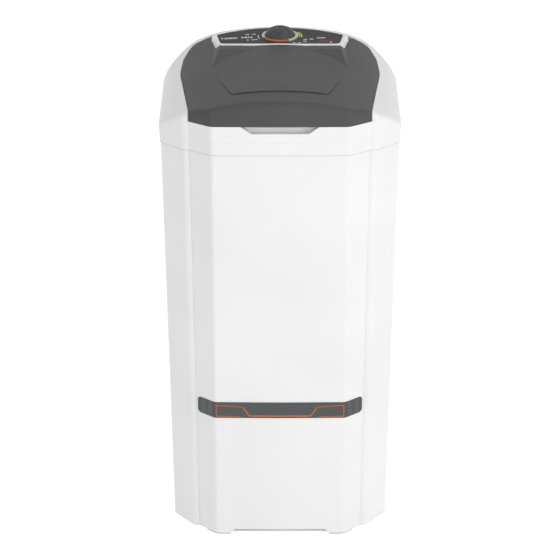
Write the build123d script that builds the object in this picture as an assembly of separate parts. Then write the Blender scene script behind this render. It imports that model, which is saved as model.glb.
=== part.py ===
from build123d import *
import os
from functools import cache
from math import asin, atan, cos, hypot, pi, radians, sin, sqrt, tan

# Semi-automatic washing machine with one tub and a top lid.
# Millimetres, Z up, the front faces -Y, and the origin is on the floor
# under the middle of the machine.

os.makedirs("parts", exist_ok=True)

# Cabinet plan at the seam with the top frame, measured from the middle of the front
seam_z = 828.0
seam_front = 255.0
seam_panel_half = 135.0
seam_chamfer_width = 45.0
seam_chamfer_depth = 42.0
seam_corner_width = 50.0
seam_corner_depth = 61.0
seam_side_depth = 378.0

# Cabinet plan at the floor, smaller all round because the walls are drafted
base_front = 240.0
base_panel_half = 133.0
base_chamfer_width = 36.0
base_chamfer_depth = 37.0
base_corner_width = 45.0
base_corner_depth = 66.0
base_side_depth = 345.0

# Plan details that stay the same from floor to seam
strip_width = 11.5
front_bow = 2.5
rear_bow = 3.0
side_flare = 4.0
front_bow_radius = 2500.0
rear_bow_radius = 1400.0
crease_radius = 12.0
strip_inner_radius = 6.0
strip_outer_radius = 14.0
side_corner_radius = 24.0
rear_corner_radius = 125.0

# Cabinet shell
cabinet_wall = 3.5
rim_z = 3.0
arch_half = 103.0
arch_height = 8.0
ledge_depth = 3.0
ledge_width = 15.0
ledge_drop = 10.0
panel_lip_width = 12.0
panel_lip_thickness = 2.0
panel_lip_bottom = 32.0
rear_panel_half = 166.0
cover_half = 92.0
cover_bottom = 60.0
cover_top = 320.0
cover_lap = 9.0
cover_wall = 2.5
cover_screw_radius = 2.0
louvre_length = 62.0
louvre_height = 5.0
louvre_pitch = 13.0
louvre_count = 9

# Trim strip across the front
trim_top = 300.0
trim_height = 34.0
trim_half = 169.5
trim_corner = 7.0
trim_thickness = 2.4
trim_pocket = 1.2

# Top frame, a crowned moulding that rises towards the back
frame_overhang = 4.0
frame_wall = 3.0
band_height = 26.0
band_step = 1.6
tongue_depth = 7.0
lid_line_z = 887.0
crease_z = 935.0
crease_lean = 11.0
crown_height = 963.0
crown_slope = 0.1134
crown_radius = 700.0
crown_half = 110.0
shoulder_radius = 240.0
rear_lean = 16.0
frame_roll = 14.0
crease_roll = 12.0

# Lid
lid_wall = 3.0
lid_gap = 1.6
lid_seat_drop = 5.0
lid_front_half = 181.0
lid_front_y = -206.0
lid_side_half = 207.0
lid_side_y = 45.0
lid_back_half = 203.0
lid_back_y = 125.0
lobe_end_y = 186.0
lobe_inner_half = 151.0
lobe_outer_radius = 52.0
lobe_tip_radius = 9.0
notch_gap = 3.0
notch_radius = 14.0
lobe_tip_inset = 17.0
window_front_half = 96.0
window_front_y = -188.0
window_back_half = 140.0
window_back_y = -28.0
window_rise = 1.6
shoulder_sink = 1.2
shoulder_half = 127.0
shoulder_run = 170.0
shoulder_length = 22.0
shoulder_drop = 30.0
finger_top_half = 77.0
finger_bottom_half = 57.0
finger_height = 14.0
finger_depth = 19.0
finger_wall = 2.5

# Lid hinge, one pin at the back end of each lobe
hinge_y = 178.0
hinge_z = 951.0
hinge_pin_radius = 2.5
knuckle_radius = 5.5
knuckle_start = 152.4
knuckle_end = 166.0
hinge_block_width = 18.0
hinge_cup_wall = 2.5
hinge_side_gap = 5.5
hinge_swing_start = 23.2
hinge_swing_middle = 11.8
hinge_swing_end = 10.2

# Opening under the lid
mouth_half = 176.0
mouth_front_y = -206.0
mouth_back_y = 66.0
mouth_radius = 62.0
mouth_wall = 3.0
mouth_bottom = 826.0

# Console behind the lid
console_rise = -0.6
console_front_y = 96.0
console_front_half = 125.0
console_side_y = 153.0
console_side_half = 134.0
console_back_y = 199.0
console_rim = 6.0
console_draft = 12.0
console_corner = 9.0
panel_thickness = 2.0
panel_sink = 0.8
knob_y = 145.0
knob_radius = 31.0
knob_height = 17.5
knob_skirt = 7.0
ring_outer_radius = 38.5
ring_inner_radius = 32.2
ring_height = 4.0
timer_shaft_radius = 3.0
timer_shaft_length = 15.0
timer_radius = 29.0
timer_depth = 34.0
timer_ear = 78.0
timer_ear_thickness = 2.0
timer_screw_radius = 1.8

# Wash tub
tub_y = -13.0
tub_top_radius = 218.0
tub_floor_radius = 196.0
tub_wall = 3.0
tub_floor_z = 254.0
tub_floor_thickness = 4.0
tub_foot_radius = 34.0
flange_thickness = 3.0
tub_rib_count = 12
tub_rib_radius = 6.0
tub_rib_bottom = 310.0
tub_rib_top = 770.0

# Drive: pulsator shaft, bearing housing and pulleys
shaft_radius = 8.0
shaft_bottom = 48.0
shaft_top = 304.0
bush_wall = 4.0
bush_length = 28.0
housing_radius = 24.0
housing_bottom = 108.0
housing_flange_radius = 66.0
housing_flange_thickness = 10.0
housing_neck_radius = 19.8
housing_rib_count = 6
neck_rise = 10.0
seal_height = 8.0
seal_radius = 14.0
hub_nut_radius = 30.0
pulley_z = 70.0
pulley_width = 16.0
driven_radius = 108.0
driver_radius = 27.0
groove_depth = 9.0
belt_top_width = 10.0
belt_height = 6.5
belt_sink = 1.5
belt_flank = 19.0
belt_side_gap = 0.4
spoke_count = 5
spoke_width = 18.0
motor_distance = 146.0

# Pulsator
pulsator_radius = 165.0
pulsator_gap = 6.0
pulsator_wall = 4.0
pulsator_hub_radius = 34.0
pulsator_hub_top = 322.0
vane_count = 4
vane_height = 34.0
vane_thickness = 7.0
cap_radius = 17.0
cap_depth = 11.0
cap_screw_radius = 3.0
pulsator_boss_radius = 23.0
water_hole_radius = 3.0
water_hole_ring = 104.0
water_hole_step = 34.0

# Motor under the tub
stator_half = 54.0
stator_height = 50.0
stator_bore_radius = 31.0
rotor_radius = 30.5
shield_radius = 50.0
shield_height = 24.0
shield_wall = 3.5
motor_shaft_radius = 6.0
fan_radius = 44.0
fan_height = 12.0
fan_blades = 10
fan_gap = 4.0
winding_outer = 45.0
winding_inner = 34.0
winding_height = 13.0
motor_bolt_spread = 43.0
motor_shield_z = 100.0
stud_radius = 3.0
grommet_radius = 9.0
grommet_height = 12.0

# Bracket plate between the tub and the drive
plate_half_x = 107.0
plate_front_y = -118.0
plate_back_y = 200.0
plate_thickness = 2.5
plate_lip = 14.0
plate_bolt_x = 92.0
plate_bolt_y = 88.0
bolt_radius = 4.0
hub_gasket_height = 9.0

# Capacitor
capacitor_radius = 19.0
capacitor_height = 66.0
capacitor_x = -84.0
capacitor_offset = 40.0
capacitor_stud_radius = 3.0

# Drain and cord outlets at the back
drain_x = 128.0
drain_y = 60.0
drain_z = 196.0
drain_radius = 16.0
drain_bore = 13.0
drain_bend = 30.0
drain_spout = 12.0
drain_nut_depth = 9.0
rear_reach = seam_front - front_bow + 6.1
spigot_radius = 14.0
cord_x = -128.0
cord_z = 150.0
cord_bore = 4.2
gland_neck_radius = 7.5
gland_flange_radius = 12.0

# Lint filter on the left wall of the tub
filter_z = 560.0
filter_width = 96.0
filter_height = 150.0
filter_thickness = 9.0
filter_wall = 6.0
filter_columns = 7
filter_rows = 11
guide_lip = 5.0
mesh_thickness = 1.5

# Base frame and feet
base_depth = 26.0
base_width = 18.0
foot_inner = 103.0
foot_outer = 153.0
foot_length = 46.0
foot_screw_radius = 2.4

# Screws that join the top frame, the tub flange and the cabinet ledge
frame_screw_radius = 1.8
frame_screw_length = 11.0
frame_screw_inset = 7.7

# Clearances
clearance = 0.3
running = 0.05
snug = 0.02
seat_gap = 0.16


def save(shape, name):
    export_step(shape, f"parts/{name}.step")


def group(shapes):
    return Compound(children=list(shapes))


def cylinder(radius, z0, z1, x=0.0, y=0.0):
    return Pos(x, y, (z0 + z1) / 2) * Cylinder(radius, z1 - z0)


def tube(outer, inner, z0, z1, x=0.0, y=0.0):
    hole = cylinder(inner, z0 - 1, z1 + 1, x, y)
    return cylinder(outer, z0, z1, x, y) - hole


def block(x0, x1, y0, y1, z0, z1):
    middle = Pos((x0 + x1) / 2, (y0 + y1) / 2, (z0 + z1) / 2)
    return middle * Box(abs(x1 - x0), y1 - y0, z1 - z0)


def rod_x(radius, x0, x1, y, z):
    return Pos((x0 + x1) / 2, y, z) * (Rot(0, 90, 0) * Cylinder(radius, abs(x1 - x0)))


def rod_y(radius, y0, y1, x, z):
    return Pos(x, (y0 + y1) / 2, z) * (Rot(90, 0, 0) * Cylinder(radius, y1 - y0))


def outline(points, radii, inset=0.0):
    """Closed plan face from a left-turning ring of points, moved in by inset."""
    count = len(points)
    corners = []
    for i, (x, y) in enumerate(points):
        ax, ay = points[i - 1]
        bx, by = points[(i + 1) % count]
        d1 = hypot(x - ax, y - ay)
        d2 = hypot(bx - x, by - y)
        into = ((x - ax) / d1, (y - ay) / d1)
        away = ((bx - x) / d2, (by - y) / d2)
        cross = into[0] * away[1] - into[1] * away[0]
        dot = into[0] * away[0] + into[1] * away[1]
        share = inset / (1 + dot)
        here = (x - (into[1] + away[1]) * share, y + (into[0] + away[0]) * share)
        radius = max(radii[i] - inset, 0.5) if cross > 0 else radii[i] + inset
        corners.append((here, into, away, radius, abs(cross) / (1 + dot)))
    starts = []
    ends = []
    arcs = []
    for (x, y), into, away, radius, half_tan in corners:
        run = radius * half_tan
        start = (x - into[0] * run, y - into[1] * run)
        end = (x + away[0] * run, y + away[1] * run)
        pull = radius * (sqrt(1 + half_tan ** 2) - 1)
        aim = (away[0] - into[0], away[1] - into[1])
        size = hypot(*aim)
        middle = (x + aim[0] / size * pull, y + aim[1] / size * pull)
        starts.append(start)
        ends.append(end)
        arcs.append(Edge.make_three_point_arc(start, middle, end))
    edges = []
    for i in range(count):
        edges.append(arcs[i])
        edges.append(Edge.make_line(ends[i], starts[(i + 1) % count]))
    return Face(Wire(edges))


def mirrored(points):
    """Right half of a ring, from the front round to the back, made whole."""
    left = [(-x, y) for x, y in reversed(points) if x > 0]
    return points + left


def mirrored_radii(points, radii):
    left = [r for (x, y), r in zip(reversed(points), reversed(radii)) if x > 0]
    return radii + left


def cabinet_plan(z, inset=0.0):
    """Cabinet outline at a height, between the floor plan and the seam plan."""
    share = z / seam_z

    def at(low, high):
        return low + (high - low) * share

    front = -at(base_front, seam_front)
    panel = at(base_panel_half, seam_panel_half)
    chamfer_x = panel + at(base_chamfer_width, seam_chamfer_width)
    chamfer_y = front + front_bow + at(base_chamfer_depth, seam_chamfer_depth)
    strip_x = chamfer_x + strip_width
    side_x = strip_x + at(base_corner_width, seam_corner_width)
    side_y = chamfer_y + at(base_corner_depth, seam_corner_depth)
    rear_y = side_y + at(base_side_depth, seam_side_depth)
    half = [
        (0, front),
        (panel, front + front_bow),
        (chamfer_x, chamfer_y),
        (strip_x, chamfer_y),
        (side_x, side_y),
        (side_x + side_flare, rear_y),
        (0, rear_y + rear_bow),
    ]
    radii = [
        front_bow_radius,
        crease_radius,
        strip_inner_radius,
        strip_outer_radius,
        side_corner_radius,
        rear_corner_radius,
        rear_bow_radius,
    ]
    return outline(mirrored(half), mirrored_radii(half, radii), inset)


def liner_plan(z, inset):
    """Simpler ring inside the cabinet, for parts that stand well in from its walls."""
    front, panel, side_x, side_y, rear_y = liner_corners(z)
    half = [
        (0, front),
        (panel, front + front_bow),
        (side_x, side_y),
        (side_x + side_flare, rear_y),
        (0, rear_y + rear_bow),
    ]
    radii = [
        front_bow_radius,
        crease_radius * 3,
        side_corner_radius * 2,
        rear_corner_radius,
        rear_bow_radius,
    ]
    return outline(mirrored(half), mirrored_radii(half, radii), inset)


def liner_corners(z):
    share = z / seam_z

    def at(low, high):
        return low + (high - low) * share

    front = -at(base_front, seam_front)
    panel = at(base_panel_half, seam_panel_half)
    chamfer = at(base_chamfer_width, seam_chamfer_width)
    side_x = panel + chamfer + strip_width + at(base_corner_width, seam_corner_width)
    side_y = front + front_bow + at(base_chamfer_depth, seam_chamfer_depth)
    side_y += at(base_corner_depth, seam_corner_depth)
    rear_y = side_y + at(base_side_depth, seam_side_depth)
    return front, panel, side_x, side_y, rear_y


def rear_wall_y(z):
    base_rear = -base_front + front_bow + base_chamfer_depth + base_corner_depth + base_side_depth
    seam_rear = -seam_front + front_bow + seam_chamfer_depth + seam_corner_depth + seam_side_depth
    return base_rear + (seam_rear - base_rear) * z / seam_z


def rear_surface_y(x, z):
    """The back wall between its rounded corners, bowed by a little at its middle."""
    side_x = liner_corners(z)[2] + side_flare
    return rear_wall_y(z) + rear_bow * (1 - abs(x) / side_x)


def tapered(z0, z1, inset=0.0, plan=cabinet_plan):
    """The cabinet's outer form between two heights, moved in by inset."""
    low = Pos(0, 0, z0) * plan(z0, inset)
    high = Pos(0, 0, z1) * plan(z1, inset)
    return loft([low, high], ruled=True)


def extruded_plan(face, z0, z1):
    return extrude(Pos(0, 0, z0) * face, z1 - z0)


def prism_y(points, y0, y1, radii=None):
    """A closed ring of (x, z) points carried along Y."""
    if radii is None:
        face = make_face(Polyline(*[(x, 0, z) for x, z in points], close=True))
    else:
        face = Rot(90, 0, 0) * outline(points, radii)
    return extrude(Pos(0, y0, 0) * face, y1 - y0, dir=(0, 1, 0))


def frame_screw_places():
    """Places round the ledge, midway across the tongue of the top frame."""
    front, panel, side_x, side_y, rear_y = liner_corners(seam_z)
    inset = frame_screw_inset
    places = []
    for side in (-1, 1):
        places.append((side * 62, front + front_bow / 2 + inset))
        for share in (0.14, 0.62):
            x = side_x + side_flare * share - inset
            places.append((side * x, side_y + (rear_y - side_y) * share))
        places.append((side * 62, rear_y + rear_bow * 0.8 - inset))
    return places


# Cabinet

def service_window(lap, z_lap):
    return block(-cover_half - lap, cover_half + lap, rear_wall_y(0) - 40,
                 rear_wall_y(seam_z) + 40, cover_bottom - z_lap, cover_top + z_lap)


def trim_area(grow):
    half = trim_half + grow
    low = trim_top - trim_height - grow
    high = trim_top + grow
    points = [(-half, low), (half, low), (half, high), (-half, high)]
    return prism_y(points, -seam_front - 20, -seam_front + 120, [trim_corner] * 4)


def cover_screw_places():
    x = cover_half + cover_lap / 2
    middle = (cover_bottom + cover_top) / 2
    low = cover_bottom + 12
    high = cover_top - 12
    return [(side * x, z) for side in (-1, 1) for z in (low, middle, high)]


def front_panel_zone(grow=0.0):
    """Room of the front panel, out to the creases where it meets the side panels."""
    low = base_panel_half + base_chamfer_width + grow
    high = seam_panel_half + seam_chamfer_width + grow
    ring = [(-low, 0), (low, 0), (high, seam_z), (-high, seam_z)]
    return prism_y(ring, -2 * seam_front, -seam_front / 2)


def rear_panel_zone(grow=0.0):
    half = rear_panel_half + grow
    return block(-half, half, rear_wall_y(0) / 2, rear_wall_y(seam_z) * 2, 0, seam_z)


@cache
def cabinet_shell():
    """All four walls with their ledge, rim, windows and holes, before they are parted."""
    shell = tapered(rim_z, seam_z) - tapered(rim_z - 1, seam_z + 1, cabinet_wall)
    ledge_top = seam_z - ledge_drop
    ledge = tapered(ledge_top - ledge_depth, ledge_top, cabinet_wall - 1)
    ledge -= tapered(ledge_top - ledge_depth - 1, ledge_top + 1,
                     cabinet_wall + ledge_width, liner_plan)
    shell += ledge
    arch_top = rim_z + arch_height
    arch = [(-arch_half, rim_z - 1), (arch_half, rim_z - 1),
            (arch_half - arch_height, arch_top), (-arch_half + arch_height, arch_top)]
    shell -= prism_y(arch, -seam_front, -base_front + 2 * cabinet_wall + 12)
    shell -= service_window(0, 0)
    pocket = tapered(trim_top - 2 * trim_height, trim_top + trim_height, -1)
    pocket -= tapered(trim_top - 2 * trim_height - 1, trim_top + trim_height + 1, trim_pocket)
    shell -= pocket & trim_area(clearance)
    rear = rear_wall_y(drain_z)
    holes = [rod_y(drain_radius + clearance, rear - 40, rear + 20, drain_x, drain_z)]
    holes.append(rod_y(gland_neck_radius + clearance, rear - 40, rear + 20, cord_x, cord_z))
    for x, z in cover_screw_places():
        holes.append(rod_y(cover_screw_radius + running, rear - 20, rear + 20, x, z))
    for x, y in frame_screw_places():
        holes.append(cylinder(frame_screw_radius + running, ledge_top - 6, ledge_top + 1, x, y))
    return shell - holes


def make_cabinet_front():
    return cabinet_shell() & front_panel_zone(-seat_gap / 2)


def make_cabinet_rear():
    return cabinet_shell() & rear_panel_zone(-seat_gap / 2)


@cache
def make_cabinet_right():
    """Side panel with a lip at each edge that laps behind the front and rear panels."""
    half = block(0, 2 * seam_front, -2 * seam_front, 2 * seam_front, 0, seam_z)
    panel = cabinet_shell() & half
    panel -= [front_panel_zone(seat_gap / 2), rear_panel_zone(seat_gap / 2)]
    low = panel_lip_bottom
    high = seam_z - ledge_drop - ledge_depth - clearance
    inner = tapered(low - 1, high + 1, cabinet_wall + panel_lip_thickness)
    behind = tapered(low, high, cabinet_wall + seat_gap) - inner
    root = tapered(low, high, cabinet_wall - 0.5) - inner
    ends = [front_panel_zone(), rear_panel_zone()]
    short = [front_panel_zone(-panel_lip_width), rear_panel_zone(-panel_lip_width)]
    wide = [front_panel_zone(panel_lip_width), rear_panel_zone(panel_lip_width)]
    for end, inside, outside in zip(ends, short, wide):
        panel += (behind & half & outside) - inside
        panel += (root & half & outside) - end
    return panel


def make_cabinet_left():
    return mirror(make_cabinet_right(), Plane.YZ)


def make_rear_cover():
    """Service cover: an outer plate that laps the wall and an inner lip in its window."""
    low = cover_bottom - cover_lap
    high = cover_top + cover_lap
    plate = tapered(low - 5, high + 5, -cover_wall) - tapered(low - 6, high + 6, 0)
    plate &= service_window(cover_lap, cover_lap)
    lip = tapered(low - 5, high + 5, -1) - tapered(low - 6, high + 6, cabinet_wall)
    lip &= service_window(-clearance, -clearance)
    inside = tapered(low - 7, high + 7, 0) & service_window(-4, -4)
    cover = plate + (lip - inside)
    z = (cover_bottom + cover_top) / 2 - louvre_pitch * (louvre_count - 1) / 2
    cuts = []
    for i in range(louvre_count):
        for side in (-1, 1):
            x = side * (louvre_length / 2 + 9)
            height = z + i * louvre_pitch
            slot = [(x - louvre_length / 2, height), (x + louvre_length / 2, height),
                    (x + louvre_length / 2, height + louvre_height),
                    (x - louvre_length / 2, height + louvre_height)]
            rear = rear_wall_y(height)
            cuts.append(prism_y(slot, rear - 12, rear + 20, [louvre_height * 0.45] * 4))
    for x, z in cover_screw_places():
        rear = rear_wall_y(z)
        cuts.append(rod_y(cover_screw_radius + running, rear - 20, rear + 20, x, z))
    return cover - cuts


def pan_screw(shank_radius, length, head_radius, head_height):
    """Screw along -Z, its slotted head on top of the origin."""
    head = Pos(0, 0, head_height / 2) * Cylinder(head_radius, head_height)
    head = chamfer(head.edges().group_by(Axis.Z)[-1], head_height * 0.3)
    head -= Pos(0, 0, head_height) * Box(head_radius * 1.5, head_radius * 0.3, head_height)
    return head + Pos(0, 0, -length / 2) * Cylinder(shank_radius, length)


def make_cover_screws():
    screw = pan_screw(cover_screw_radius, 12, cover_wall * 1.7, 2.6)
    screws = []
    for x, z in cover_screw_places():
        y = rear_surface_y(x, z) + cover_wall + seat_gap
        screws.append(Pos(x, y, z) * (Rot(-90, 0, 0) * screw))
    return group(screws)


def make_trim_strip():
    low = trim_top - 2 * trim_height
    high = trim_top + trim_height
    stand = trim_thickness - trim_pocket
    skin = tapered(low, high, -stand) - tapered(low - 1, high + 1, trim_pocket)
    return skin & trim_area(0)


# Base frame and feet

def foot_pad_boxes(grow):
    """Footprints of the four pads, under the front creases and the back corners."""
    front = -base_front - 10
    rear = rear_wall_y(0) + 10
    boxes = []
    for side in (-1, 1):
        near, far = sorted((side * (foot_inner - grow), side * (foot_outer + grow)))
        boxes.append((near, far, front, -base_front + foot_length + grow))
        boxes.append((near, far, rear - 10 - foot_length - grow, rear))
    return boxes


def foot_centre(box):
    near, far, front, rear = box
    inner = -base_front + foot_length / 2 if front < 0 else rear_wall_y(0) - foot_length / 2
    return (near + far) / 2, inner


def make_feet():
    pads = []
    for box in foot_pad_boxes(0):
        near, far, front, rear = box
        pad = tapered(0, rim_z, 0.6) & block(near, far, front, rear, -1, rim_z + 1)
        x, y = foot_centre(box)
        pad -= cylinder(foot_screw_radius + running, -1, rim_z + 1, x, y)
        pad -= cylinder(foot_screw_radius * 2.2, -1, rim_z * 0.6, x, y)
        pads.append(pad)
    return group(pads)


def make_foot_screws():
    screw = Rot(180, 0, 0) * pan_screw(foot_screw_radius, 16, foot_screw_radius * 2, 1.6)
    screws = []
    for box in foot_pad_boxes(0):
        x, y = foot_centre(box)
        screws.append(Pos(x, y, rim_z * 0.6) * screw)
    return group(screws)


def make_base_frame():
    """Ring inside the foot of the cabinet, with a boss over each foot."""
    inset = cabinet_wall + clearance
    top = rim_z + base_depth
    ring = tapered(rim_z, top, inset)
    ring -= tapered(rim_z - 1, top + 1, inset + 3)
    flange = tapered(rim_z, rim_z + 3, inset)
    flange -= tapered(rim_z - 1, rim_z + 4, inset + base_width, liner_plan)
    frame = ring + flange
    inner = tapered(rim_z - 1, top + 1, inset)
    for box in foot_pad_boxes(0):
        x, y = foot_centre(box)
        frame += block(x - 15, x + 15, y - 20, y + 20, rim_z, rim_z + 3) & inner
        frame += cylinder(9, rim_z, top, x, y)
    for y in (tub_y - 70, tub_y + 70):
        half = base_panel_half + base_chamfer_width + base_corner_width
        frame += block(-half - 5, half + 5, y - 14, y + 14, rim_z, rim_z + 3) & inner
        frame += block(-half - 5, half + 5, y - 2, y + 2, rim_z, rim_z + 14) & inner
    for box in foot_pad_boxes(0):
        x, y = foot_centre(box)
        frame -= cylinder(foot_screw_radius + running, rim_z - 1, top - 4, x, y)
    arch_top = rim_z + arch_height
    frame -= block(-arch_half, arch_half, -seam_front, -base_front + base_width * 0.5,
                   rim_z - 1, arch_top)
    return frame


# Crowned form shared by the top frame and the lid

def crown_drop(x):
    """How far the crown has fallen below its middle line at a distance x from it."""
    x = abs(x)
    if x <= crown_half:
        return crown_radius - sqrt(crown_radius ** 2 - x ** 2)
    start = crown_half / crown_radius
    here = start + (x - crown_half) / shoulder_radius
    first = crown_radius - sqrt(crown_radius ** 2 - crown_half ** 2)
    return first + shoulder_radius * (sqrt(1 - start ** 2) - sqrt(1 - here ** 2))


def crown_z(x, y):
    return crown_height + crown_slope * y - crown_drop(x)


def crown_solid(sink=0.0, tilt=0.0, pivot_y=0.0):
    """All that lies under the crown, sunk by sink, from front to back."""
    reach_y = seam_front + 60
    start = crown_half / crown_radius
    end = sin(radians(66))
    far = crown_half + shoulder_radius * (end - start)
    middle = (crown_half + far) / 2
    slope = crown_slope + tilt
    top = crown_height - sink - slope * reach_y - tilt * pivot_y
    points = {x: top - crown_drop(x) for x in (0, crown_half, middle, far)}
    low = seam_z - 60
    crown = ThreePointArc((-crown_half, points[crown_half]), (0, points[0]),
                          (crown_half, points[crown_half]))
    right = ThreePointArc((crown_half, points[crown_half]), (middle, points[middle]),
                          (far, points[far]))
    left = ThreePointArc((-far, points[far]), (-middle, points[middle]),
                         (-crown_half, points[crown_half]))
    sides = Polyline((far, points[far]), (far, low - 200), (-far, low - 200), (-far, points[far]))
    face = Rot(90, 0, 0) * make_face(Curve() + [crown, right, sides, left])
    run = 2 * reach_y
    direction = Vector(0, 1, slope)
    return extrude(Pos(0, -reach_y, 0) * face, run * direction.length, dir=direction)


def side_profile(inset=0.0):
    """Front and back walls seen from the side: both lean in above the band."""
    front = -seam_front - frame_overhang + inset
    lean = crease_lean / (crease_z - lid_line_z)
    high = crown_height + 60
    rear = rear_wall_y(seam_z) + rear_bow + frame_overhang - inset
    back_lean = rear_lean / (crown_height - seam_z)
    ring = [
        (front, seam_z - 60),
        (front, lid_line_z),
        (front + lean * (high - lid_line_z), high),
        (rear - back_lean * (high - seam_z), high),
        (rear, seam_z),
        (rear, seam_z - 60),
    ]
    reach = seam_panel_half * 3
    face = make_face(Polyline(*[(-reach, y, z) for y, z in ring], close=True))
    return extrude(face, 2 * reach, dir=(1, 0, 0))


@cache
def dome(inset=0.0, low=None):
    """The top's whole outer form, moved in by inset on every wall, its top edge rolled."""
    if low is None:
        low = seam_z
    walls = extruded_plan(cabinet_plan(seam_z, inset - frame_overhang), low, crown_height + 40)
    form = walls & crown_solid(inset) & side_profile(inset)
    side_rim = []
    crease = []
    for edge in form.edges():
        middle = edge @ 0.5
        on_crown = abs(middle.Z - crown_z(middle.X, middle.Y) + inset) < 0.2
        own_seam = abs(abs(middle.X) - crown_half) < 0.5 and edge.length > seam_side_depth
        if on_crown and not own_seam:
            if middle.Y > side_rim_start():
                side_rim.append(edge)
            elif abs(middle.X) < seam_panel_half:
                crease.append(edge)
    form = fillet(crease, crease_roll - inset)
    side_rim = [edge for edge in form.edges() if matches(edge, side_rim)]
    return fillet(side_rim, frame_roll - inset)


def side_rim_start():
    """The roll runs from just before the side corners round the back."""
    corner_y = -seam_front + front_bow + seam_chamfer_depth + seam_corner_depth
    return corner_y - side_corner_radius * 0.6


def matches(edge, others):
    return any((edge @ 0.5 - other @ 0.5).length < 0.01 for other in others)


def lid_plan(grow=0.0):
    """Plan of the lid: wide at the front, lobes back beside the console."""
    notch = console_front_y - console_rim - notch_gap
    notch_half = console_front_half + console_rim + notch_gap
    front = -seam_front - 60
    half = [
        (0, front),
        (lid_front_half, front),
        (lid_front_half, lid_front_y),
        (lid_side_half, lid_side_y),
        (lid_back_half, lid_back_y),
        (lid_back_half - lobe_tip_inset, lobe_end_y + 1),
        (lobe_inner_half, lobe_end_y + 1),
        (notch_half, notch),
        (0, notch),
    ]
    radii = [0.5, 0.5, 60, 300, 90, lobe_outer_radius * 0.55, lobe_tip_radius, notch_radius, 0.5]
    ring = [(x, y) for x, y in half]
    full = mirrored(ring)
    all_radii = mirrored_radii(ring, radii)
    keep = [i for i, (x, y) in enumerate(full) if not (x == 0)]
    full = [full[i] for i in keep]
    all_radii = [all_radii[i] for i in keep]
    return outline(full, all_radii, -grow)


def lid_column(grow=0.0, low=None):
    low = lid_line_z if low is None else low
    return extruded_plan(lid_plan(grow), low, crown_height + 80)


def hinge_swing(extra=0.0, side=1):
    """Room that the back end of a lobe sweeps, narrowing as the crown falls away."""
    x0 = lobe_inner_half - hinge_side_gap - extra
    x1 = knuckle_end + 2
    x2 = lid_back_half - lobe_tip_inset + lid_gap + extra
    near = Cone(hinge_swing_start + extra, hinge_swing_middle + extra, x1 - x0)
    far = Cone(hinge_swing_middle + extra, hinge_swing_end + extra, x2 - x1)
    turn = Rot(0, side * 90, 0)
    swept = Pos(side * (x0 + x1) / 2, 0, 0) * (turn * near)
    swept += Pos(side * (x1 + x2) / 2, 0, 0) * (turn * far)
    return Pos(0, hinge_y, hinge_z) * swept


def mouth_plan(grow=0.0):
    front = mouth_front_y
    ring = [
        (mouth_half - 34, front),
        (mouth_half, front + 46),
        (mouth_half, mouth_back_y),
    ]
    radii = [30, 40, mouth_radius]
    full = mirrored(ring)
    return outline(full, mirrored_radii(ring, radii), -grow)


def console_plane(sink=0.0):
    """Plane of the console's top, its origin under the knob."""
    tilt = atan(crown_slope)
    normal = Vector(0, -sin(tilt), cos(tilt))
    top = Vector(0, knob_y, crown_height + crown_slope * knob_y + console_rise)
    return Plane(origin=top - normal * sink, x_dir=(1, 0, 0), z_dir=normal)


def console_face(grow=0.0):
    """Outline of the dark panel about the knob, straight in front and bowed behind."""
    front = console_front_y - knob_y - grow
    side = console_side_y - knob_y
    back = console_back_y - knob_y + grow
    wide = console_side_half + grow
    narrow = console_front_half + grow * 0.8
    arc = ThreePointArc((wide, side), (0, back), (-wide, side))
    lines = Polyline((-wide, side), (-narrow, front), (narrow, front), (wide, side))
    face = make_face(Curve() + [lines, arc])
    return fillet(face.vertices(), console_corner + grow * 0.5)


def console_boss(depth):
    plane = console_plane()
    face = plane.location * console_face(console_rim)
    direction = -plane.z_dir
    return extrude(face, depth, dir=direction, taper=-console_draft)


def finger_cut(grow=0.0):
    top = lid_line_z + 8 + grow
    low = lid_line_z - finger_height - grow
    flare = (finger_top_half - finger_bottom_half) / finger_height
    wide = finger_top_half + grow
    points = [(-finger_bottom_half - grow, low), (finger_bottom_half + grow, low),
              (wide, lid_line_z), (wide, top), (-wide, top), (-wide, lid_line_z)]
    front = -seam_front - frame_overhang
    return prism_y(points, front - 5, front + finger_depth + grow)


def console_pocket():
    face = console_plane(panel_sink + panel_thickness).location * console_face(clearance)
    return extrude(face, 20, dir=console_plane().z_dir)


def console_hollow():
    """Hollow under the console floor, open to the inside of the frame."""
    plane = console_plane(panel_sink + panel_thickness + frame_wall)
    face = plane.location * console_face(console_rim - frame_wall)
    return extrude(face, 60, dir=-plane.z_dir)


def timer_screw_places():
    return [(-timer_ear / 2, 0), (timer_ear / 2, 0)]


def on_console(shape, sink=0.0):
    return console_plane(sink).location * shape


def hinge_ear(side):
    """Boss inside the frame that carries the pin, on the console side of the lobe."""
    end = lobe_inner_half - hinge_side_gap
    wide = knuckle_radius + 2.5
    low = hinge_z - wide
    ear = block(side * (end - hinge_block_width), side * end, hinge_y - wide, hinge_y + wide,
                low, crown_z(end - hinge_block_width, hinge_y) - 1)
    return ear


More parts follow.
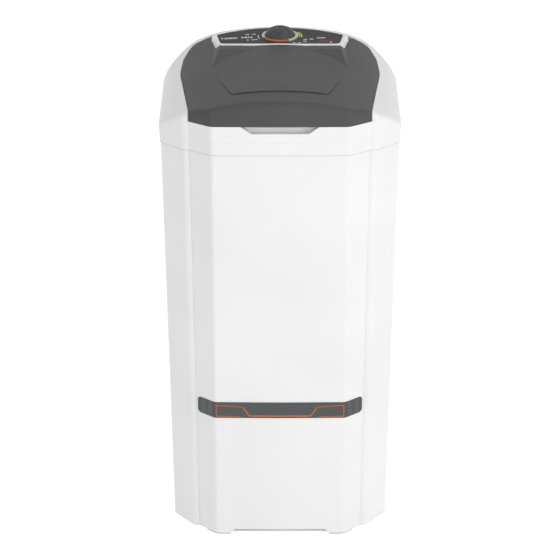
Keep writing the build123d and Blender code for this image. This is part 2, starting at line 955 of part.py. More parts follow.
def make_top_frame():
    band_top = seam_z + band_height
    outside = dome()
    seat = dome(lid_seat_drop)
    recess = lid_column(lid_gap)
    body = (outside - recess) + (seat & recess)
    body += console_boss(60) & block(-400, 400, -400, 400, crease_z, crown_height + 60)
    grown = lid_column(lid_gap + frame_wall, lid_line_z - frame_wall)
    under = dome(frame_wall) - grown
    hollow = under + dome(lid_seat_drop + frame_wall)
    hollow -= finger_cut(finger_wall)
    cups = [hinge_swing(hinge_cup_wall, side) for side in (-1, 1)]
    ears = [hinge_ear(side) for side in (-1, 1)]
    collar = extruded_plan(mouth_plan(mouth_wall), mouth_bottom, crown_height + 30)
    hollow = hollow - cups - ears - collar
    frame = body - hollow - console_hollow()
    flat_ring = extruded_plan(cabinet_plan(seam_z, band_step - frame_overhang), seam_z,
                              seam_z + frame_wall)
    flat_ring -= extruded_plan(liner_plan(seam_z, cabinet_wall + 8), seam_z - 1, band_top)
    tongue = extruded_plan(cabinet_plan(seam_z, cabinet_wall + clearance),
                           seam_z - tongue_depth, seam_z + 1)
    tongue -= extruded_plan(liner_plan(seam_z, cabinet_wall + 8),
                            seam_z - tongue_depth - 1, seam_z + 2)
    band = extruded_plan(cabinet_plan(seam_z, -frame_overhang - 5), seam_z - 1, band_top)
    band -= extruded_plan(cabinet_plan(seam_z, band_step - frame_overhang), seam_z - 2,
                          band_top + 1)
    frame = frame - band + flat_ring + tongue
    cuts = [extruded_plan(mouth_plan(), seam_z - 20, crown_height + 60)]
    cuts += [finger_cut(), console_pocket()]
    cuts += [hinge_swing(0, side) for side in (-1, 1)]
    far = lobe_inner_half + 20
    cuts.append(rod_x(hinge_pin_radius + running, -far, far, hinge_y, hinge_z)
                - block(-hinge_inner_x(), hinge_inner_x(), 0, 300, seam_z, crown_height + 60))
    cuts.append(on_console(Cylinder(timer_shaft_radius + 2, 60)))
    for x, y in timer_screw_places():
        cuts.append(on_console(Pos(x, y, 0) * Cylinder(timer_screw_radius + running, 60)))
    for x, y in frame_screw_places():
        cuts.append(cylinder(frame_screw_radius + running, seam_z - 10, seam_z + 1, x, y))
    return frame - cuts


def hinge_inner_x():
    return lobe_inner_half - hinge_side_gap - hinge_block_width + 2


# Lid

def lid_window():
    """Raised window form: full height at its front edge, gone at the back."""
    run = window_back_y - window_front_y
    ring = [(window_front_half, window_front_y), (window_back_half, window_back_y)]
    plan = outline(mirrored(ring), [10, 30, 30, 10])
    column = extruded_plan(plan, lid_line_z, crown_height + 60)
    raised = crown_solid(-window_rise, -window_rise / run, window_front_y)
    return column & raised & dome_slab_front()


def dome_slab_front():
    return block(-400, 400, window_front_y - 5, window_back_y + 5, lid_line_z, crown_height + 60)


def lid_shoulders(sink=0.0):
    """Level corners beside the console's front edge, sloping off forward and outward."""
    plane = console_plane(shoulder_sink + sink)
    back = console_front_y - console_rim - notch_gap - knob_y + 1
    front = back - shoulder_length
    top = Pos(0, (front + back) / 2, 0) * Rectangle(2 * shoulder_half, back - front)
    low_front = front - shoulder_run
    low_back = back + shoulder_drop
    foot = Pos(0, (low_front + low_back) / 2, -shoulder_drop) * Rectangle(
        2 * (shoulder_half + shoulder_drop), low_back - low_front)
    return plane.location * loft([foot, top], ruled=True)


def make_lid():
    column = lid_column()
    outer = dome(0) & column
    slab = outer - dome(lid_seat_drop - clearance)
    slab -= dome(lid_wall) & lid_column(-lid_wall, lid_line_z - 5)
    lid = slab + (lid_window() - dome(lid_wall))
    lid += (lid_shoulders() & column) - dome(1)
    lid -= lid_shoulders(lid_wall) & lid_column(-lid_wall) - dome(lid_seat_drop - 2 * clearance)
    knuckles = []
    for side in (-1, 1):
        barrel = rod_x(knuckle_radius, side * knuckle_start, side * knuckle_end, hinge_y, hinge_z)
        web = block(side * knuckle_start, side * knuckle_end, hinge_y - knuckle_radius,
                    hinge_y + knuckle_radius, hinge_z, crown_height + 30)
        knuckles += [barrel, web & dome(1) & lid_column(-1, lid_line_z)]
    lid += knuckles
    far = knuckle_end + 5
    holes = rod_x(hinge_pin_radius, -far, far, hinge_y, hinge_z)
    holes -= block(-lobe_inner_half, lobe_inner_half, 0, 300, seam_z, crown_height + 60)
    return lid - holes


def make_lid_pins():
    pins = []
    for side in (-1, 1):
        inner = hinge_inner_x() + 1
        pins.append(rod_x(hinge_pin_radius, side * inner, side * knuckle_end, hinge_y, hinge_z))
    return group(pins)


def bumper_places():
    return [(-lid_front_half + 12, lid_front_y + 25), (lid_front_half - 12, lid_front_y + 25),
            (-lid_side_half + 10, lid_side_y), (lid_side_half - 10, lid_side_y)]


def make_lid_bumpers():
    """Soft pads under the lid, a hair above the seat in the frame."""
    under = dome(lid_wall)
    floor = dome(lid_seat_drop - clearance)
    pads = []
    for x, y in bumper_places():
        stem = cylinder(4, lid_line_z - 60, crown_height + 30, x, y)
        pads.append((stem & under) - floor)
    return group(pads)


# Console

def make_console_panel():
    panel = extrude(console_face(), panel_thickness)
    panel -= Cylinder(timer_shaft_radius + 2, 20)
    return on_console(panel, panel_sink + panel_thickness)


def make_dial_ring():
    ring = Cylinder(ring_outer_radius, ring_height) - Cylinder(ring_inner_radius, ring_height * 2)
    top = ring.edges().group_by(Axis.Z)[-1]
    ring = fillet(top, ring_height * 0.4)
    return on_console(Pos(0, 0, ring_height / 2) * ring, panel_sink)


def make_timer_knob():
    """Domed knob with a waist above its skirt and a raised grip line."""
    lift = 0.8
    side = knob_radius
    top = knob_height
    profile = Polyline((0, lift), (side, lift), (side, lift + knob_skirt * 0.5))
    shoulder = ThreePointArc((side, lift + knob_skirt * 0.5), (side * 0.83, top * 0.78), (0, top))
    close = Line((0, top), (0, lift))
    face = Rot(90, 0, 0) * make_face(Curve() + [profile, shoulder, close])
    knob = revolve(face, Axis.Z)
    grip = Pos(0, -side * 0.4, top * 0.62) * Box(5, side * 0.9, top * 0.8)
    limit = Pos(0, 0, top * 0.5) * Cylinder(side - 2, top + 1.2)
    knob += grip & limit
    hub = Pos(0, 0, lift + 5) * Cylinder(timer_shaft_radius, 12)
    return on_console(knob - hub, panel_sink)


def make_timer_shaft():
    """Spindle with its flat, from inside the timer up into the knob."""
    length = timer_shaft_length + timer_depth * 0.5
    shaft = Pos(0, 0, 0.8 + 11 - length / 2) * Cylinder(timer_shaft_radius, length)
    return on_console(shaft, panel_sink)


def timer_seat():
    return panel_sink + panel_thickness + frame_wall


def make_timer_body():
    body = Pos(0, 0, -timer_depth / 2) * Cylinder(timer_radius, timer_depth)
    ears = Pos(0, 0, -timer_ear_thickness / 2) * Box(timer_ear + 14, 14, timer_ear_thickness)
    body += fillet(ears.edges().filter_by(Axis.Z), 6)
    terminals = [Pos(x, y, -timer_depth - 4) * Box(6.3, 0.8, 8)
                 for x in (-14, 0, 14) for y in (-10, 10)]
    body += terminals
    holes = [Pos(x, y, 0) * Cylinder(timer_screw_radius + running, 20)
             for x, y in timer_screw_places()]
    bore = Pos(0, 0, 0) * Cylinder(timer_shaft_radius + running, timer_depth * 1.6)
    return on_console(body - holes - bore, timer_seat())


def make_timer_screws():
    length = timer_ear_thickness + frame_wall - clearance
    screw = pan_screw(timer_screw_radius, length, 3.4, 2.0)
    screws = []
    for x, y in timer_screw_places():
        place = Pos(x, y, -timer_ear_thickness) * (Rot(180, 0, 0) * screw)
        screws.append(on_console(place, timer_seat()))
    return group(screws)


# Wash tub

def tub_radius(z):
    share = (z - tub_floor_z) / (seam_z - tub_floor_z)
    return tub_floor_radius + (tub_top_radius - tub_floor_radius) * share


def tub_form(grow, low, high):
    """Round tapering tub form with a rounded foot, its walls moved out by grow."""
    foot = tub_foot_radius + grow
    bottom = tub_radius(low) + grow
    top = tub_radius(high) + grow
    profile = Polyline((0, low), (bottom, low), (top, high), (0, high), close=True)
    face = make_face(profile)
    corner = [v for v in face.vertices() if abs(v.X - bottom) < 0.01 and abs(v.Y - low) < 0.01]
    face = fillet(corner, foot)
    return Pos(0, tub_y, 0) * revolve(Rot(90, 0, 0) * face, Axis.Z)


def make_tub():
    rim = seam_z - ledge_drop + flange_thickness
    tub = tub_form(tub_wall, tub_floor_z - tub_floor_thickness, rim)
    flange = extruded_plan(cabinet_plan(seam_z - ledge_drop, cabinet_wall + clearance),
                           rim - flange_thickness, rim)
    tub += flange
    inside = tub_form(0, tub_floor_z, rim + 20)
    tub -= inside
    ribs = []
    for i in range(tub_rib_count):
        angle = 2 * pi * (i + 0.5) / tub_rib_count
        if cos(angle) < -0.9:
            continue
        low = Vector(tub_radius(tub_rib_bottom) * cos(angle),
                     tub_radius(tub_rib_bottom) * sin(angle) + tub_y, tub_rib_bottom)
        high = Vector(tub_radius(tub_rib_top) * cos(angle),
                      tub_radius(tub_rib_top) * sin(angle) + tub_y, tub_rib_top)
        run = high - low
        plane = Plane(origin=low, z_dir=run)
        ribs.append(extrude(plane.location * Circle(tub_rib_radius).face(), run.length,
                            dir=plane.z_dir))
    outer = tub_form(tub_wall - 0.5, tub_floor_z - tub_floor_thickness, rim)
    tub += [rib & outer for rib in ribs]
    bosses = []
    for x, y in plate_bolt_places():
        bosses.append(tube(9, bolt_radius, plate_top(), tub_floor_z - 1, x, y))
    tub += bosses
    spout = tube(drain_radius, drain_bore, drain_top(), tub_floor_z - 1, drain_x, drain_y)
    tub += spout
    holes = [cylinder(housing_neck_radius + clearance, tub_floor_z - 20, tub_floor_z + 5, 0, tub_y)]
    holes.append(cylinder(drain_bore, tub_floor_z - 30, tub_floor_z + 5, drain_x, drain_y))
    for x, y in frame_screw_places():
        holes.append(cylinder(frame_screw_radius + running, rim - 6, rim + 1, x, y))
    return tub - holes


def plate_top():
    return tub_floor_z - tub_floor_thickness - hub_gasket_height


def drain_top():
    return tub_floor_z - tub_floor_thickness - drain_spout


def plate_bolt_places():
    return [(x, tub_y + y) for x in (-plate_bolt_x, plate_bolt_x)
            for y in (-plate_bolt_y, plate_bolt_y)]


# Drive under the tub

def plate_bottom():
    return plate_top() - plate_thickness


def motor_y():
    return tub_y + motor_distance


def make_hub_gasket():
    return tube(housing_neck_radius + 14, housing_neck_radius + clearance,
                plate_top(), tub_floor_z - tub_floor_thickness, 0, tub_y)


def make_bracket_plate():
    """Pressed steel plate with turned-down edges, bolted under the tub."""
    low = plate_bottom()
    high = plate_top()
    plate = block(-plate_half_x, plate_half_x, plate_front_y, plate_back_y, low, high)
    plate = fillet(plate.edges().filter_by(Axis.Z), 22)
    skirt = block(-plate_half_x, plate_half_x, plate_front_y, plate_back_y,
                  low - plate_lip, low + 0.5)
    skirt = fillet(skirt.edges().filter_by(Axis.Z), 22)
    hollow = block(-plate_half_x + plate_thickness, plate_half_x - plate_thickness,
                   plate_front_y + plate_thickness, plate_back_y - plate_thickness,
                   low - plate_lip - 1, low)
    hollow = fillet(hollow.edges().filter_by(Axis.Z), 22 - plate_thickness)
    plate += skirt
    cuts = [hollow, cylinder(housing_neck_radius + clearance, low - 1, high + 1, 0, tub_y)]
    for x, y in plate_bolt_places():
        cuts.append(cylinder(bolt_radius + running, low - 1, high + 1, x, y))
    for x, y in flange_bolt_places():
        cuts.append(cylinder(bolt_radius + running, low - 1, high + 1, x, y))
    for x, y in motor_bolt_places():
        cuts.append(cylinder(stud_radius + running, low - 1, high + 1, x, y))
    cuts.append(cylinder(capacitor_stud_radius + running, low - 1, high + 1,
                         capacitor_x, capacitor_y()))
    return plate - cuts


def flange_bolt_places():
    spread = housing_flange_radius - 14
    return [(spread * cos(a), tub_y + spread * sin(a))
            for a in (pi / 4 + i * pi / 2 for i in range(4))]


def motor_bolt_places():
    y = motor_y()
    return [(x, y + dy) for x in (-motor_bolt_spread, motor_bolt_spread)
            for dy in (-motor_bolt_spread, motor_bolt_spread)]


def hex_head(radius, z0, z1, x, y):
    face = RegularPolygon(radius, 6)
    return extrude(Pos(x, y, z0) * face, z1 - z0)


def make_plate_bolts():
    """Hex screws up through the plate into the tub bosses."""
    bolts = []
    for x, y in plate_bolt_places():
        low = plate_bottom()
        bolt = hex_head(bolt_radius * 1.8, low - 5, low, x, y)
        bolts.append(bolt + cylinder(bolt_radius, low - 1, tub_floor_z - 6, x, y))
    return group(bolts)


def make_flange_bolts():
    """Screws and nuts that hold the bearing housing to the plate."""
    bolts = []
    low = plate_bottom() - housing_flange_thickness
    for x, y in flange_bolt_places():
        bolt = hex_head(bolt_radius * 1.8, low - 5, low, x, y)
        bolt += cylinder(bolt_radius, low - 1, plate_top() + 1, x, y)
        nut = hex_head(bolt_radius * 1.8, plate_top(), plate_top() + 5, x, y)
        bolts.append(bolt + nut)
    return group(bolts)


def make_bearing_housing():
    """Cast housing: a ribbed sleeve, a bolting flange and the neck through the tub."""
    flange_top = plate_bottom()
    flange_low = flange_top - housing_flange_thickness
    body = cylinder(housing_radius, housing_bottom, flange_top, 0, tub_y)
    body += cylinder(housing_flange_radius, flange_low, flange_top, 0, tub_y)
    neck_top = tub_floor_z + neck_rise
    body += cylinder(housing_neck_radius, flange_top - 1, neck_top, 0, tub_y)
    ribs = []
    for i in range(housing_rib_count):
        profile = Polyline((housing_radius - 2, flange_low + 1),
                           (housing_flange_radius - 4, flange_low + 1),
                           (housing_flange_radius - 4, flange_low - 4),
                           (housing_radius + 3, housing_bottom + 24),
                           (housing_radius - 2, housing_bottom + 24), close=True)
        rib = extrude(Rot(90, 0, 0) * make_face(profile), 2.5, both=True)
        ribs.append(Pos(0, tub_y, 0) * (Rot(0, 0, 360 * i / housing_rib_count) * rib))
    body += ribs
    bore = shaft_radius + bush_wall
    cuts = [cylinder(bore, housing_bottom - 1, neck_top + 1, 0, tub_y)]
    cuts.append(cylinder(seal_radius, neck_top - seal_height, neck_top + 1, 0, tub_y))
    for x, y in flange_bolt_places():
        cuts.append(cylinder(bolt_radius + running, flange_low - 6, flange_top + 1, x, y))
    for x, y in flange_bolt_places():
        cuts.append(cylinder(bolt_radius * 1.8 + 1, flange_low - 8, flange_low, x, y))
    return body - cuts


def make_shaft_bushes():
    outer = shaft_radius + bush_wall
    inner = shaft_radius + running
    neck_top = tub_floor_z + neck_rise
    low = tube(outer, inner, housing_bottom, housing_bottom + bush_length, 0, tub_y)
    high_end = neck_top - seal_height
    high = tube(outer, inner, high_end - bush_length, high_end, 0, tub_y)
    return group([low, high])


def make_shaft_seal():
    """Lip seal: a body in the neck and a lip that leans in to the shaft."""
    neck_top = tub_floor_z + neck_rise
    low = neck_top - seal_height
    ring = tube(seal_radius, shaft_radius + 2, low, neck_top, 0, tub_y)
    ring += tube(shaft_radius + 3, shaft_radius + running, low, low + 2.2, 0, tub_y)
    ring += tube(shaft_radius + 3, shaft_radius + running, neck_top - 2.2, neck_top, 0, tub_y)
    return ring


def make_hub_nut():
    """Notched ring nut that clamps the neck to the tub floor."""
    top = tub_floor_z + neck_rise - 1
    nut = tube(hub_nut_radius, housing_neck_radius, tub_floor_z, top, 0, tub_y)
    cuts = []
    for i in range(8):
        notch = Pos(hub_nut_radius, 0, tub_floor_z + 6) * Box(6, 6, 20)
        cuts.append(Pos(0, tub_y, 0) * (Rot(0, 0, 45 * i) * notch))
    return nut - cuts


def make_drive_shaft():
    """Pulsator shaft with a flat for the pulley and a threaded seat in its top."""
    shaft = cylinder(shaft_radius, shaft_bottom, shaft_top, 0, tub_y)
    shaft -= block(-10, 10, tub_y + shaft_radius - 1, tub_y + 10, shaft_top - 26, shaft_top + 1)
    shaft -= cylinder(cap_screw_radius, shaft_top - 22, shaft_top + 1, 0, tub_y)
    return chamfer(shaft.edges().group_by(Axis.Z)[0], 1)


def rim_section(radius, inner, width):
    """Half section of a wheel rim with a V groove, from its inner face out."""
    half = width / 2
    slope = tan(radians(belt_flank))
    mouth = belt_top_width / 2 + belt_side_gap + belt_sink * slope
    floor = mouth - groove_depth * slope
    deep = radius - groove_depth
    points = [(inner, -half), (radius, -half), (radius, -mouth), (deep, -floor),
              (deep, floor), (radius, mouth), (radius, half), (inner, half)]
    return Rot(90, 0, 0) * make_face(Polyline(*points, close=True))


def make_driven_pulley():
    """Cast wheel with a V groove, ribbed spokes and a hub on the shaft."""
    inner = driven_radius - groove_depth - 5
    wheel = revolve(rim_section(driven_radius, inner, pulley_width), Axis.Z)
    hub = Pos(0, 0, 4) * Cylinder(19, pulley_width + 8)
    spokes = []
    for i in range(spoke_count):
        arm = Polyline((8, -spoke_width / 2 - 3), (inner + 2, -spoke_width / 2),
                       (inner + 2, spoke_width / 2), (8, spoke_width / 2 + 3), close=True)
        web = extrude(make_face(arm), 3, both=True)
        rib = Pos((inner + 8) / 2, 0, 0) * Box(inner - 8, 4, pulley_width - 4)
        spokes.append(Rot(0, 0, 360 * i / spoke_count) * (web + rib))
    wheel = wheel + hub + spokes
    wheel -= Cylinder(shaft_radius + snug, 200)
    return Pos(0, tub_y, pulley_z) * wheel


def make_pulley_nut():
    low = pulley_z - pulley_width / 2
    nut = hex_head(14, low - 9, low, 0, tub_y) + cylinder(16, low - 1.6, low, 0, tub_y)
    return nut - cylinder(shaft_radius + snug, low - 20, low + 1, 0, tub_y)


def make_shaft_spacer():
    low = pulley_z + 8 + pulley_width / 2
    return tube(shaft_radius + bush_wall, shaft_radius + snug, low,
                housing_bottom - clearance, 0, tub_y)


def belt_loop(sink, z):
    """Plan of an open belt round both pulleys, its face sunk below their rims."""
    big = driven_radius - sink
    small = driver_radius - sink
    lean = asin((big - small) / motor_distance)
    right_big = (big * cos(lean), big * sin(lean))
    right_small = (small * cos(lean), motor_distance + small * sin(lean))
    left_big = (-right_big[0], right_big[1])
    left_small = (-right_small[0], right_small[1])
    front = ThreePointArc(right_big, (0, -big), left_big)
    left = Line(left_big, left_small)
    back = ThreePointArc(left_small, (0, motor_distance + small), right_small)
    right = Line(right_small, right_big)
    return Pos(0, 0, z) * make_face(Curve() + [front, left, back, right])


def make_drive_belt():
    """V belt in both grooves, its two runs tangent to the pulleys."""
    half_top = belt_top_width / 2
    half_low = half_top - belt_height * tan(radians(belt_flank))
    shoulder = belt_sink + 0.6
    low = belt_sink + belt_height
    belt = extrude(belt_loop(belt_sink, -half_top), belt_top_width)
    core = extrude(belt_loop(low, -half_top - 1), belt_top_width + 2)
    upper = loft([belt_loop(low, half_low), belt_loop(shoulder, half_top)], ruled=True)
    lower = loft([belt_loop(shoulder, -half_top), belt_loop(low, -half_low)], ruled=True)
    belt = belt - core - upper - lower
    return Pos(0, tub_y, pulley_z) * belt


# Pulsator

def pulsator_low():
    return tub_floor_z + pulsator_gap


def pulsator_shell(sink):
    """Domed disc rising to a rounded hub, its surface sunk by sink."""
    low = pulsator_low()
    rim = pulsator_radius - sink
    hub = pulsator_hub_radius - sink
    top = pulsator_hub_top - sink
    base = low + 6 - sink
    foot = base + 14
    outer = Spline((rim, base), (rim * 0.62, base + 5), (hub + 18, foot),
                   tangents=[(-1, 0.02), (-1, 0.28)])
    rise = Spline((hub + 18, foot), (hub, foot + 16), (hub * 0.86, top - 7),
                  tangents=[(-1, 0.28), (-0.1, 1)])
    crown = ThreePointArc((hub * 0.86, top - 7), (hub * 0.6, top - 1.6), (0, top))
    rest = Polyline((0, top), (0, low - 10), (rim, low - 10), (rim, base))
    face = make_face(Curve() + [outer, rise, crown, rest])
    return Pos(0, tub_y, 0) * revolve(Rot(90, 0, 0) * face, Axis.Z)


def make_pulsator():
    """Hollow domed disc with curved vanes, water holes and a hub on the shaft."""
    low = pulsator_low()
    solid = pulsator_shell(0)
    vane_face = Pos(0, 0, low - 5) * make_face(Polyline(
        (pulsator_hub_radius - 8, -vane_thickness), (pulsator_radius - 10, -vane_thickness / 2),
        (pulsator_radius - 10, vane_thickness / 2), (pulsator_hub_radius - 8, vane_thickness),
        close=True))
    height = vane_height + 6
    start = pulsator_hub_radius - 9
    wedge = Polyline((start, low - 6), (pulsator_radius - 9, low - 6),
                     (pulsator_radius - 9, low + 10), (start + 58, low + height - 8),
                     (start + 20, low + height), (start, low + height), close=True)
    limit = extrude(Rot(90, 0, 0) * make_face(wedge), 30, both=True)
    vane = extrude(vane_face, 60, taper=4) & limit
    tips = [edge for edge in vane.edges() if (edge @ 0.5).Z > low + 11]
    vane = fillet(tips, 1.6)
    vanes = [Pos(0, tub_y, 0) * (Rot(0, 0, 360 * i / vane_count) * vane)
             for i in range(vane_count)]
    body = (solid + vanes) & block(-200, 200, tub_y - 200, tub_y + 200, low, 400)
    body -= pulsator_shell(pulsator_wall)
    body += cylinder(pulsator_boss_radius, low + 9, pulsator_hub_top - 8, 0, tub_y)
    for i in range(8):
        web = Pos((pulsator_hub_radius + 8) / 2, 0, low + 22) * Box(pulsator_hub_radius - 6, 3, 14)
        body += (Pos(0, tub_y, 0) * (Rot(0, 0, 45 * i + 22.5) * web)) & solid
    seat = pulsator_hub_top - cap_depth
    cuts = [cylinder(shaft_radius + snug, low - 5, shaft_top + snug, 0, tub_y)]
    cuts.append(cylinder(cap_screw_radius + running, low, seat + 1, 0, tub_y))
    cuts.append(cylinder(cap_radius + clearance, seat, pulsator_hub_top + 5, 0, tub_y))
    for ring, count in ((water_hole_ring, 12), (water_hole_ring + water_hole_step, 16)):
        for i in range(count):
            angle = 2 * pi * (i + 0.5) / count
            cuts.append(cylinder(water_hole_radius, low - 2, low + 30, ring * cos(angle),
                                 tub_y + ring * sin(angle)))
    return body - cuts


def make_pulsator_screw():
    """Hex screw down into the shaft, its head in the recess under the cap."""
    seat = pulsator_hub_top - cap_depth
    head = hex_head(8, seat, seat + 5, 0, tub_y) + cylinder(9, seat, seat + 1.4, 0, tub_y)
    return head + cylinder(cap_screw_radius, shaft_top - 20, seat + 1, 0, tub_y)


def make_pulsator_cap():
    """Round cap that closes the recess, hollow over the screw head."""
    seat = pulsator_hub_top - cap_depth
    cap = cylinder(cap_radius, seat, pulsator_hub_top + 1.5, 0, tub_y)
    cap = fillet(cap.edges().group_by(Axis.Z)[-1], 2.5)
    return cap - cylinder(cap_radius - 4, seat - 1, pulsator_hub_top - 2.5, 0, tub_y)


# Motor

def motor_low():
    return motor_shield_z + shield_height


def motor_high():
    return motor_low() + stator_height


def at_motor(radius, z0, z1):
    return cylinder(radius, z0, z1, 0, motor_y())


def motor_shield(low, high, face_down):
    """Cast end shield: a cup with a bearing boss, four ears and cooling slots."""
    y = motor_y()
    cup = at_motor(shield_radius, low, high)
    ears = block(-motor_bolt_spread - 8, motor_bolt_spread + 8, y - motor_bolt_spread - 8,
                 y + motor_bolt_spread + 8, low, high)
    ears = fillet(ears.edges().filter_by(Axis.Z), 8)
    ears -= block(-motor_bolt_spread + 8, motor_bolt_spread - 8, y - 80, y + 80, low - 1, high + 1)
    ears -= block(-80, 80, y - motor_bolt_spread + 8, y + motor_bolt_spread - 8, low - 1, high + 1)
    if face_down:
        trimmed = block(-80, 80, y - 80, y + 80, low - 1, high - 8)
        hollow = at_motor(shield_radius - shield_wall, low + shield_wall, high + 1)
        boss = at_motor(13, low, low + 14)
        slots_low, slots_high = low + 8, high - 6
    else:
        trimmed = block(-80, 80, y - 80, y + 80, low + 8, high + 1)
        hollow = at_motor(shield_radius - shield_wall, low - 1, high - shield_wall)
        boss = at_motor(13, high - 14, high)
        slots_low, slots_high = low + 6, high - 8
    body = cup + (ears - (trimmed - at_motor(shield_radius, low, high))) - hollow + boss
    cuts = []
    for i in range(10):
        slot = Pos(shield_radius, 0, (slots_low + slots_high) / 2)
        slot = slot * Box(14, 7, slots_high - slots_low)
        cuts.append(Pos(0, y, 0) * (Rot(0, 0, 36 * i) * slot))
    for x, by in motor_bolt_places():
        cuts.append(cylinder(stud_radius + running, low - 1, high + 1, x, by))
    return body - cuts


def make_motor_lower_shield():
    shield = motor_shield(motor_shield_z, motor_low(), True)
    return shield - at_motor(motor_shaft_radius + running, motor_shield_z - 1, motor_low())


def make_motor_upper_shield():
    shield = motor_shield(motor_high(), motor_high() + shield_height, False)
    return shield - at_motor(motor_shaft_radius + running, motor_high(),
                             motor_high() + shield_height - 4)


def make_motor_stator():
    """Stack of laminations, square with cut corners, with winding slots in its bore."""
    y = motor_y()
    body = block(-stator_half, stator_half, y - stator_half, y + stator_half,
                 motor_low(), motor_high())
    body = fillet(body.edges().filter_by(Axis.Z), 9)
    cuts = [at_motor(stator_bore_radius, motor_low() - 1, motor_high() + 1)]
    for i in range(12):
        slot = Pos(stator_bore_radius + 4, 0, (motor_low() + motor_high()) / 2)
        slot = slot * Box(11, 5, stator_height + 2)
        cuts.append(Pos(0, y, 0) * (Rot(0, 0, 30 * i) * slot))
    for x, by in motor_bolt_places():
        cuts.append(cylinder(stud_radius + running, motor_low() - 1, motor_high() + 1, x, by))
    return body - cuts


def make_motor_windings():
    """Wound ends standing out of the stack, inside the shields."""
    ends = []
    for low, high in ((motor_low() - winding_height, motor_low()),
                      (motor_high(), motor_high() + winding_height)):
        ring = tube(winding_outer, winding_inner, low, high, 0, motor_y())
        outer = ring.edges().group_by(Axis.Z)[0 if low < motor_low() else -1]
        ends.append(fillet(outer, 3))
    return group(ends)


def make_motor_rotor():
    low = motor_low() + 1
    high = motor_high() - 1
    rotor = at_motor(rotor_radius, low, high)
    for z0, z1 in ((low - 8, low), (high, high + 8)):
        rotor += tube(rotor_radius - 2, rotor_radius - 9, z0, z1, 0, motor_y())
    return rotor - at_motor(motor_shaft_radius + snug, low - 1, high + 1)


def make_motor_shaft():
    low = pulley_z - pulley_width / 2 - 5
    shaft = at_motor(motor_shaft_radius, low, motor_high() + shield_height - 4.5)
    return chamfer(shaft.edges().group_by(Axis.Z)[0], 0.8)


def make_motor_pulley():
    pulley = revolve(rim_section(driver_radius, motor_shaft_radius + snug, pulley_width), Axis.Z)
    return Pos(0, motor_y(), pulley_z) * pulley


def make_pulley_clip():
    """Open snap ring under the small pulley."""
    high = pulley_z - pulley_width / 2
    ring = tube(10, motor_shaft_radius + snug, high - 1.6, high, 0, motor_y())
    return ring - block(-2.5, 2.5, motor_y(), motor_y() + 12, high - 3, high + 1)


def make_cooling_fan():
    low = pulley_z + pulley_width / 2
    high = motor_shield_z - fan_gap
    disc = at_motor(fan_radius - 2, high - fan_height, high - fan_height + 2)
    fan = disc + at_motor(13, low, high)
    for i in range(fan_blades):
        blade = Pos(fan_radius / 2 + 5, 0, high - fan_height / 2)
        blade = blade * (Rot(0, 0, 14) * Box(fan_radius - 10, 2, fan_height))
        fan += Pos(0, motor_y(), 0) * (Rot(0, 0, 360 * i / fan_blades) * blade)
    return fan - at_motor(motor_shaft_radius + snug, low - 1, high + 1)


def make_motor_grommets():
    """Rubber blocks between the motor and the plate, waisted at mid height."""
    high = plate_bottom()
    low = high - grommet_height
    parts = []
    for x, y in motor_bolt_places():
        ring = tube(grommet_radius, stud_radius + running, low, high, x, y)
        ring -= tube(grommet_radius + 1, grommet_radius - 2, low + 4, high - 4, x, y)
        parts.append(ring)
    return group(parts)


def make_motor_spacers():
    low = motor_high() + shield_height
    high = plate_bottom() - grommet_height
    return group([tube(6.5, stud_radius + running, low, high, x, y)
                  for x, y in motor_bolt_places()])


def make_motor_bolts():
    """Long studs from under the motor up through the plate, a nut at each end."""
    parts = []
    low = motor_shield_z
    high = plate_top()
    for x, y in motor_bolt_places():
        bolt = cylinder(stud_radius, low - 5, high + 6, x, y)
        bolt += hex_head(6.2, low - 4, low, x, y) + hex_head(6.2, high, high + 4, x, y)
        parts.append(bolt)
    return group(parts)


# Capacitor beside the motor

def capacitor_y():
    return tub_y + capacitor_offset


def make_capacitor():
    """Can hung by its stud from the plate, its two blades pointing down."""
    high = plate_bottom()
    low = high - capacitor_height
    y = capacitor_y()
    can = cylinder(capacitor_radius, low, high, capacitor_x, y)
    can = fillet(can.edges().group_by(Axis.Z)[0], 2.5)
    stud = cylinder(capacitor_stud_radius, high - 1, plate_top() + 7, capacitor_x, y)
    blades = [block(capacitor_x + dx - 0.4, capacitor_x + dx + 0.4, y - 3.2, y + 3.2,
                    low - 9, low + 1) for dx in (-7, 7)]
    rim = tube(capacitor_radius - 1, capacitor_radius - 4, low - 1.5, low + 1, capacitor_x, y)
    return can + stud + blades + rim


def make_capacitor_nut():
    high = plate_top()
    nut = hex_head(7, high, high + 5, capacitor_x, capacitor_y())
    return nut - cylinder(capacitor_stud_radius + snug, high - 1, high + 6,
                          capacitor_x, capacitor_y())


# Drain and cord outlets

